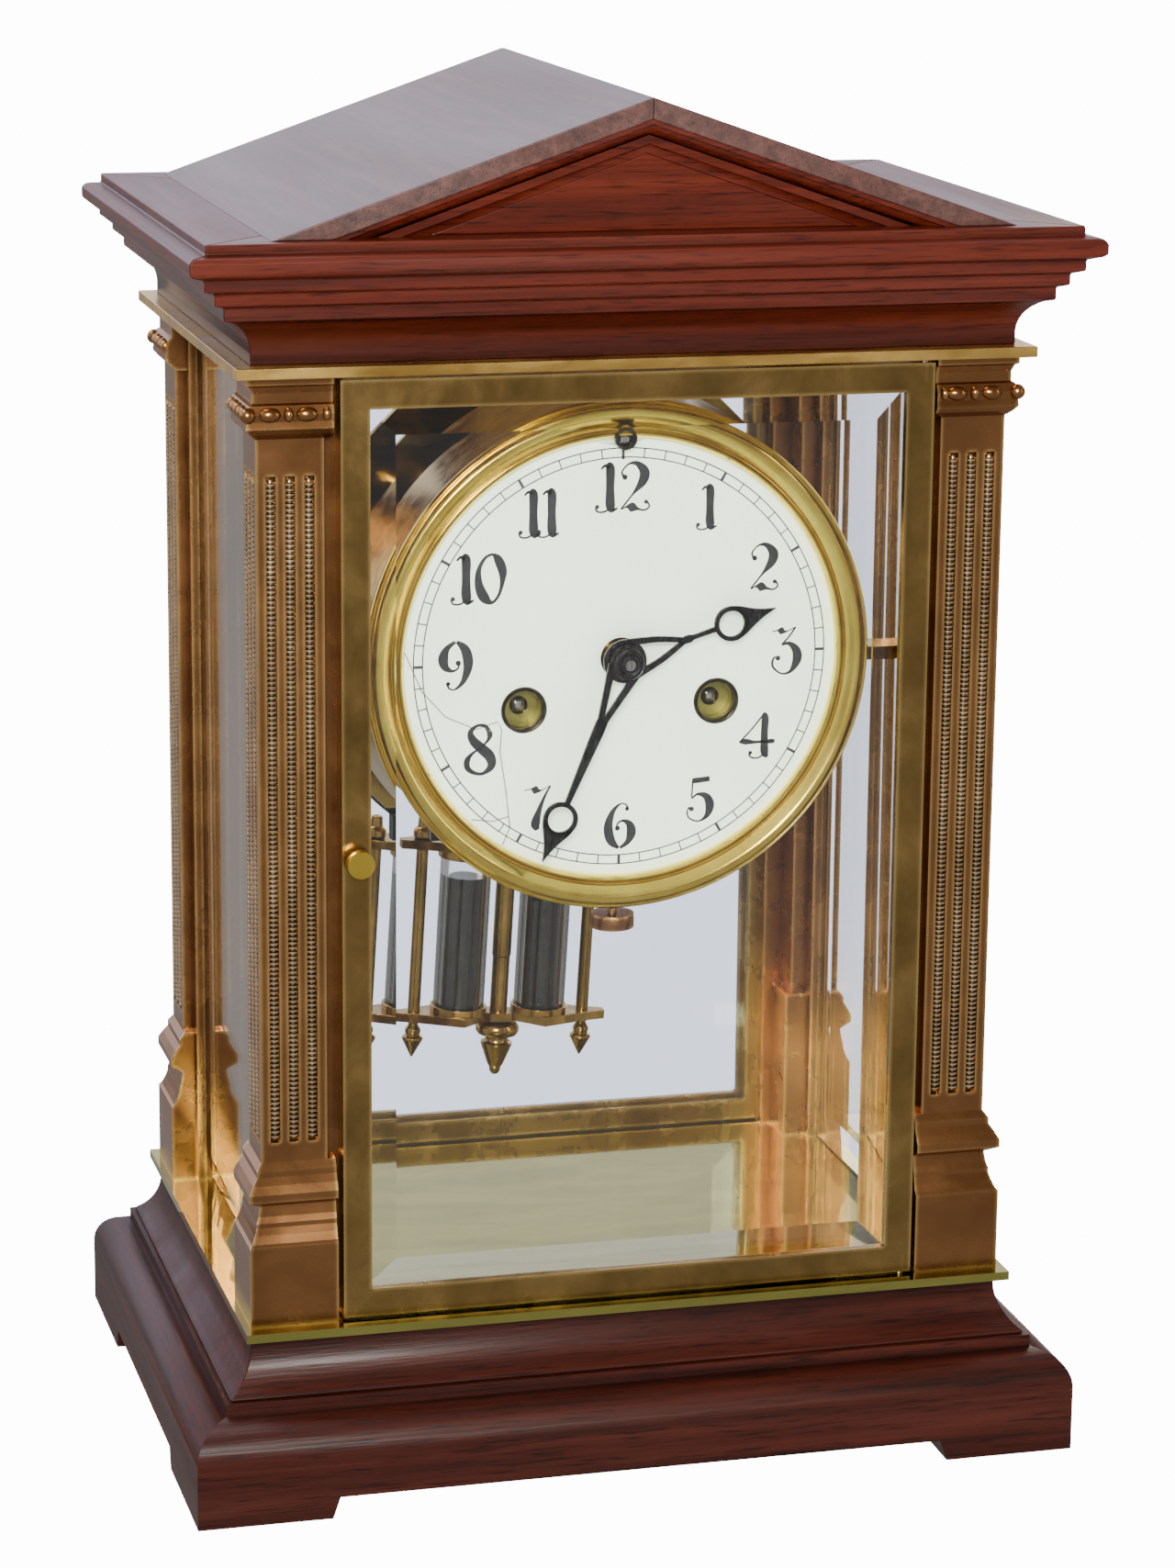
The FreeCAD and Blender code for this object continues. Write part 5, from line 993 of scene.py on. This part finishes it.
def make_hands():
    hand("hour_hand_pierced", "hour_hand", "hour_set", HOUR_ANGLE, ring_at=25.5, merge=13.6,
         tip=36.2, hub=4.9, bore=2.6, legs=1.3, neck=1.7)
    hand("minute_hand_pierced", "minute_hand", "minute_set", MINUTE_ANGLE, ring_at=37.8, merge=14.6,
         tip=48.1, hub=3.9, bore=1.25, legs=1.5, neck=2.6)
    low, high = box_mm("hand_nut")
    front, back = low[1], high[1]
    nut = Shape()
    nut.lathe([(1.25, back), (3.7, back), (3.75, back - 0.6), (3.4, back - 1.1), (2.75, back - 1.25),
               (2.6, back - 1.6), (2.3, (front + back) / 2 - 0.4), (1.8, front + 0.1), (1.25, front)],
              (0, 0, DIAL_Z), "y", 48)
    piece = nut.make("hand_nut_turned", BLUED, "minute_set")
    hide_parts("hand_nut")


make_numerals()
make_minute_track()
make_cracks()
make_bezel()
make_eyelets()
make_hands()

# ---- Pendulum ----

LEAN = 3.1                  # degrees off plumb, to the left
LOW_BAR, TOP_BAR, BAR_THICK, BAR_HALF = 78.4, 121.6, 2.2, 26.6
SIDE_ROD_X, VIAL_X = 21.1, 10.1


def make_pendulum():
    """Drawn hanging plumb, then leant about its pivot like the CAD pendulum."""
    pivot = JOINTS["pendulum_swing"]["pos_m"]
    y = pivot[1] / MM
    top_of_rod = pivot[2] / MM
    low_bar, top_bar, thick = LOW_BAR, TOP_BAR, BAR_THICK
    tilt = (Matrix.Translation(pivot) @ Matrix.Rotation(math.radians(LEAN), 4, "Y")
            @ Matrix.Translation(-Vector(pivot)))
    brass = Shape()
    # bars: two diamond lobes under the vials, joined by narrow necks
    right_half = [(2.7, 3.4), (3.2, 2.4), (5.0, 3.4), (VIAL_X, 7.8), (SIDE_ROD_X, 3.0), (BAR_HALF, 1.3)]
    across = [(-x, wide) for x, wide in reversed(right_half)] + right_half
    for bottom in (low_bar, top_bar):
        rows = []
        for sign, height in ((-1, bottom), (1, bottom), (1, bottom + thick), (-1, bottom + thick)):
            rows.append([(x, y + sign * wide, height) for x, wide in across])
        brass.skin(rows, round_points=False)
    # the middle rod, its threaded end below, and the eye at its top
    brass.lathe([(0.02, low_bar - 14.2), (0.8, low_bar - 13.9), (1.3, low_bar - 13.1),
                 (1.45, low_bar - 12.0), (1.45, low_bar - 10.2), (2.1, low_bar - 10.0),
                 (2.1, low_bar + 16), (2.3, low_bar + 16.2), (2.3, top_of_rod - 2.4),
                 (0.02, top_of_rod - 2.4)], (0, y, 0), "z", 28)
    brass.lathe([(1.58, -2.5), (4, -2.5), (4, 2.5), (1.58, 2.5)], (0, y, top_of_rod), "y", 32)
    # side rods with a drop below and a finial above
    for x in (-SIDE_ROD_X, SIDE_ROD_X):
        brass.lathe([(0.02, low_bar - 9.5), (0.35, low_bar - 9.0), (2.6, low_bar - 4.7),
                     (2.55, low_bar - 4.2), (1.7, low_bar - 3.7), (1.9, low_bar - 3.0),
                     (1.9, low_bar - 2.2), (1.4, low_bar - 1.5), (1.1, low_bar - 1.0),
                     (1.5, low_bar - 0.5), (1.5, low_bar + 0.1), (1.45, top_bar + 2),
                     (2.0, top_bar + 2.3), (2.4, top_bar + 2.9), (2.4, top_bar + 4.3),
                     (1.9, top_bar + 4.9), (1.45, top_bar + 5.2), (1.3, top_bar + 7.6),
                     (0.02, top_bar + 8)], (x, y, 0), "z", 24)
    # collars round the ends of the vials
    for x in (-VIAL_X, VIAL_X):
        for bottom, top in ((low_bar + thick - 0.2, low_bar + thick + 1.6),
                            (top_bar - 2.2, top_bar + 0.2)):
            brass.lathe([(6.3, bottom), (6.9, bottom), (6.9, top), (6.3, top)], (x, y, 0), "z", 36)
    frame_piece = brass.make("pendulum_frame_turned", PENDULUM_BRASS, "pendulum",
                             matrix=tilt, bevel=0.15)
    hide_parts("pendulum_frame")
    nut = Shape()
    outline = ((1.55, -11.6), (1.8, -11.7), (3.85, -6.3), (3.9, -5.8), (3.0, -5.5), (2.75, -5.0),
               (2.75, -4.5), (3.5, -4.1), (4.8, -3.6), (5.3, -2.8), (5.3, -1.7), (4.8, -0.9),
               (3.4, -0.4), (2.36, -0.4), (2.36, -9.9), (1.55, -10.1))
    nut.lathe([(radius, low_bar + drop) for radius, drop in outline], (0, y, 0), "z", 48)
    nut_piece = nut.make("rating_nut_turned", PENDULUM_BRASS, "rating_nut",
                         matrix=tilt)
    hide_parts("rating_nut")


make_pendulum()
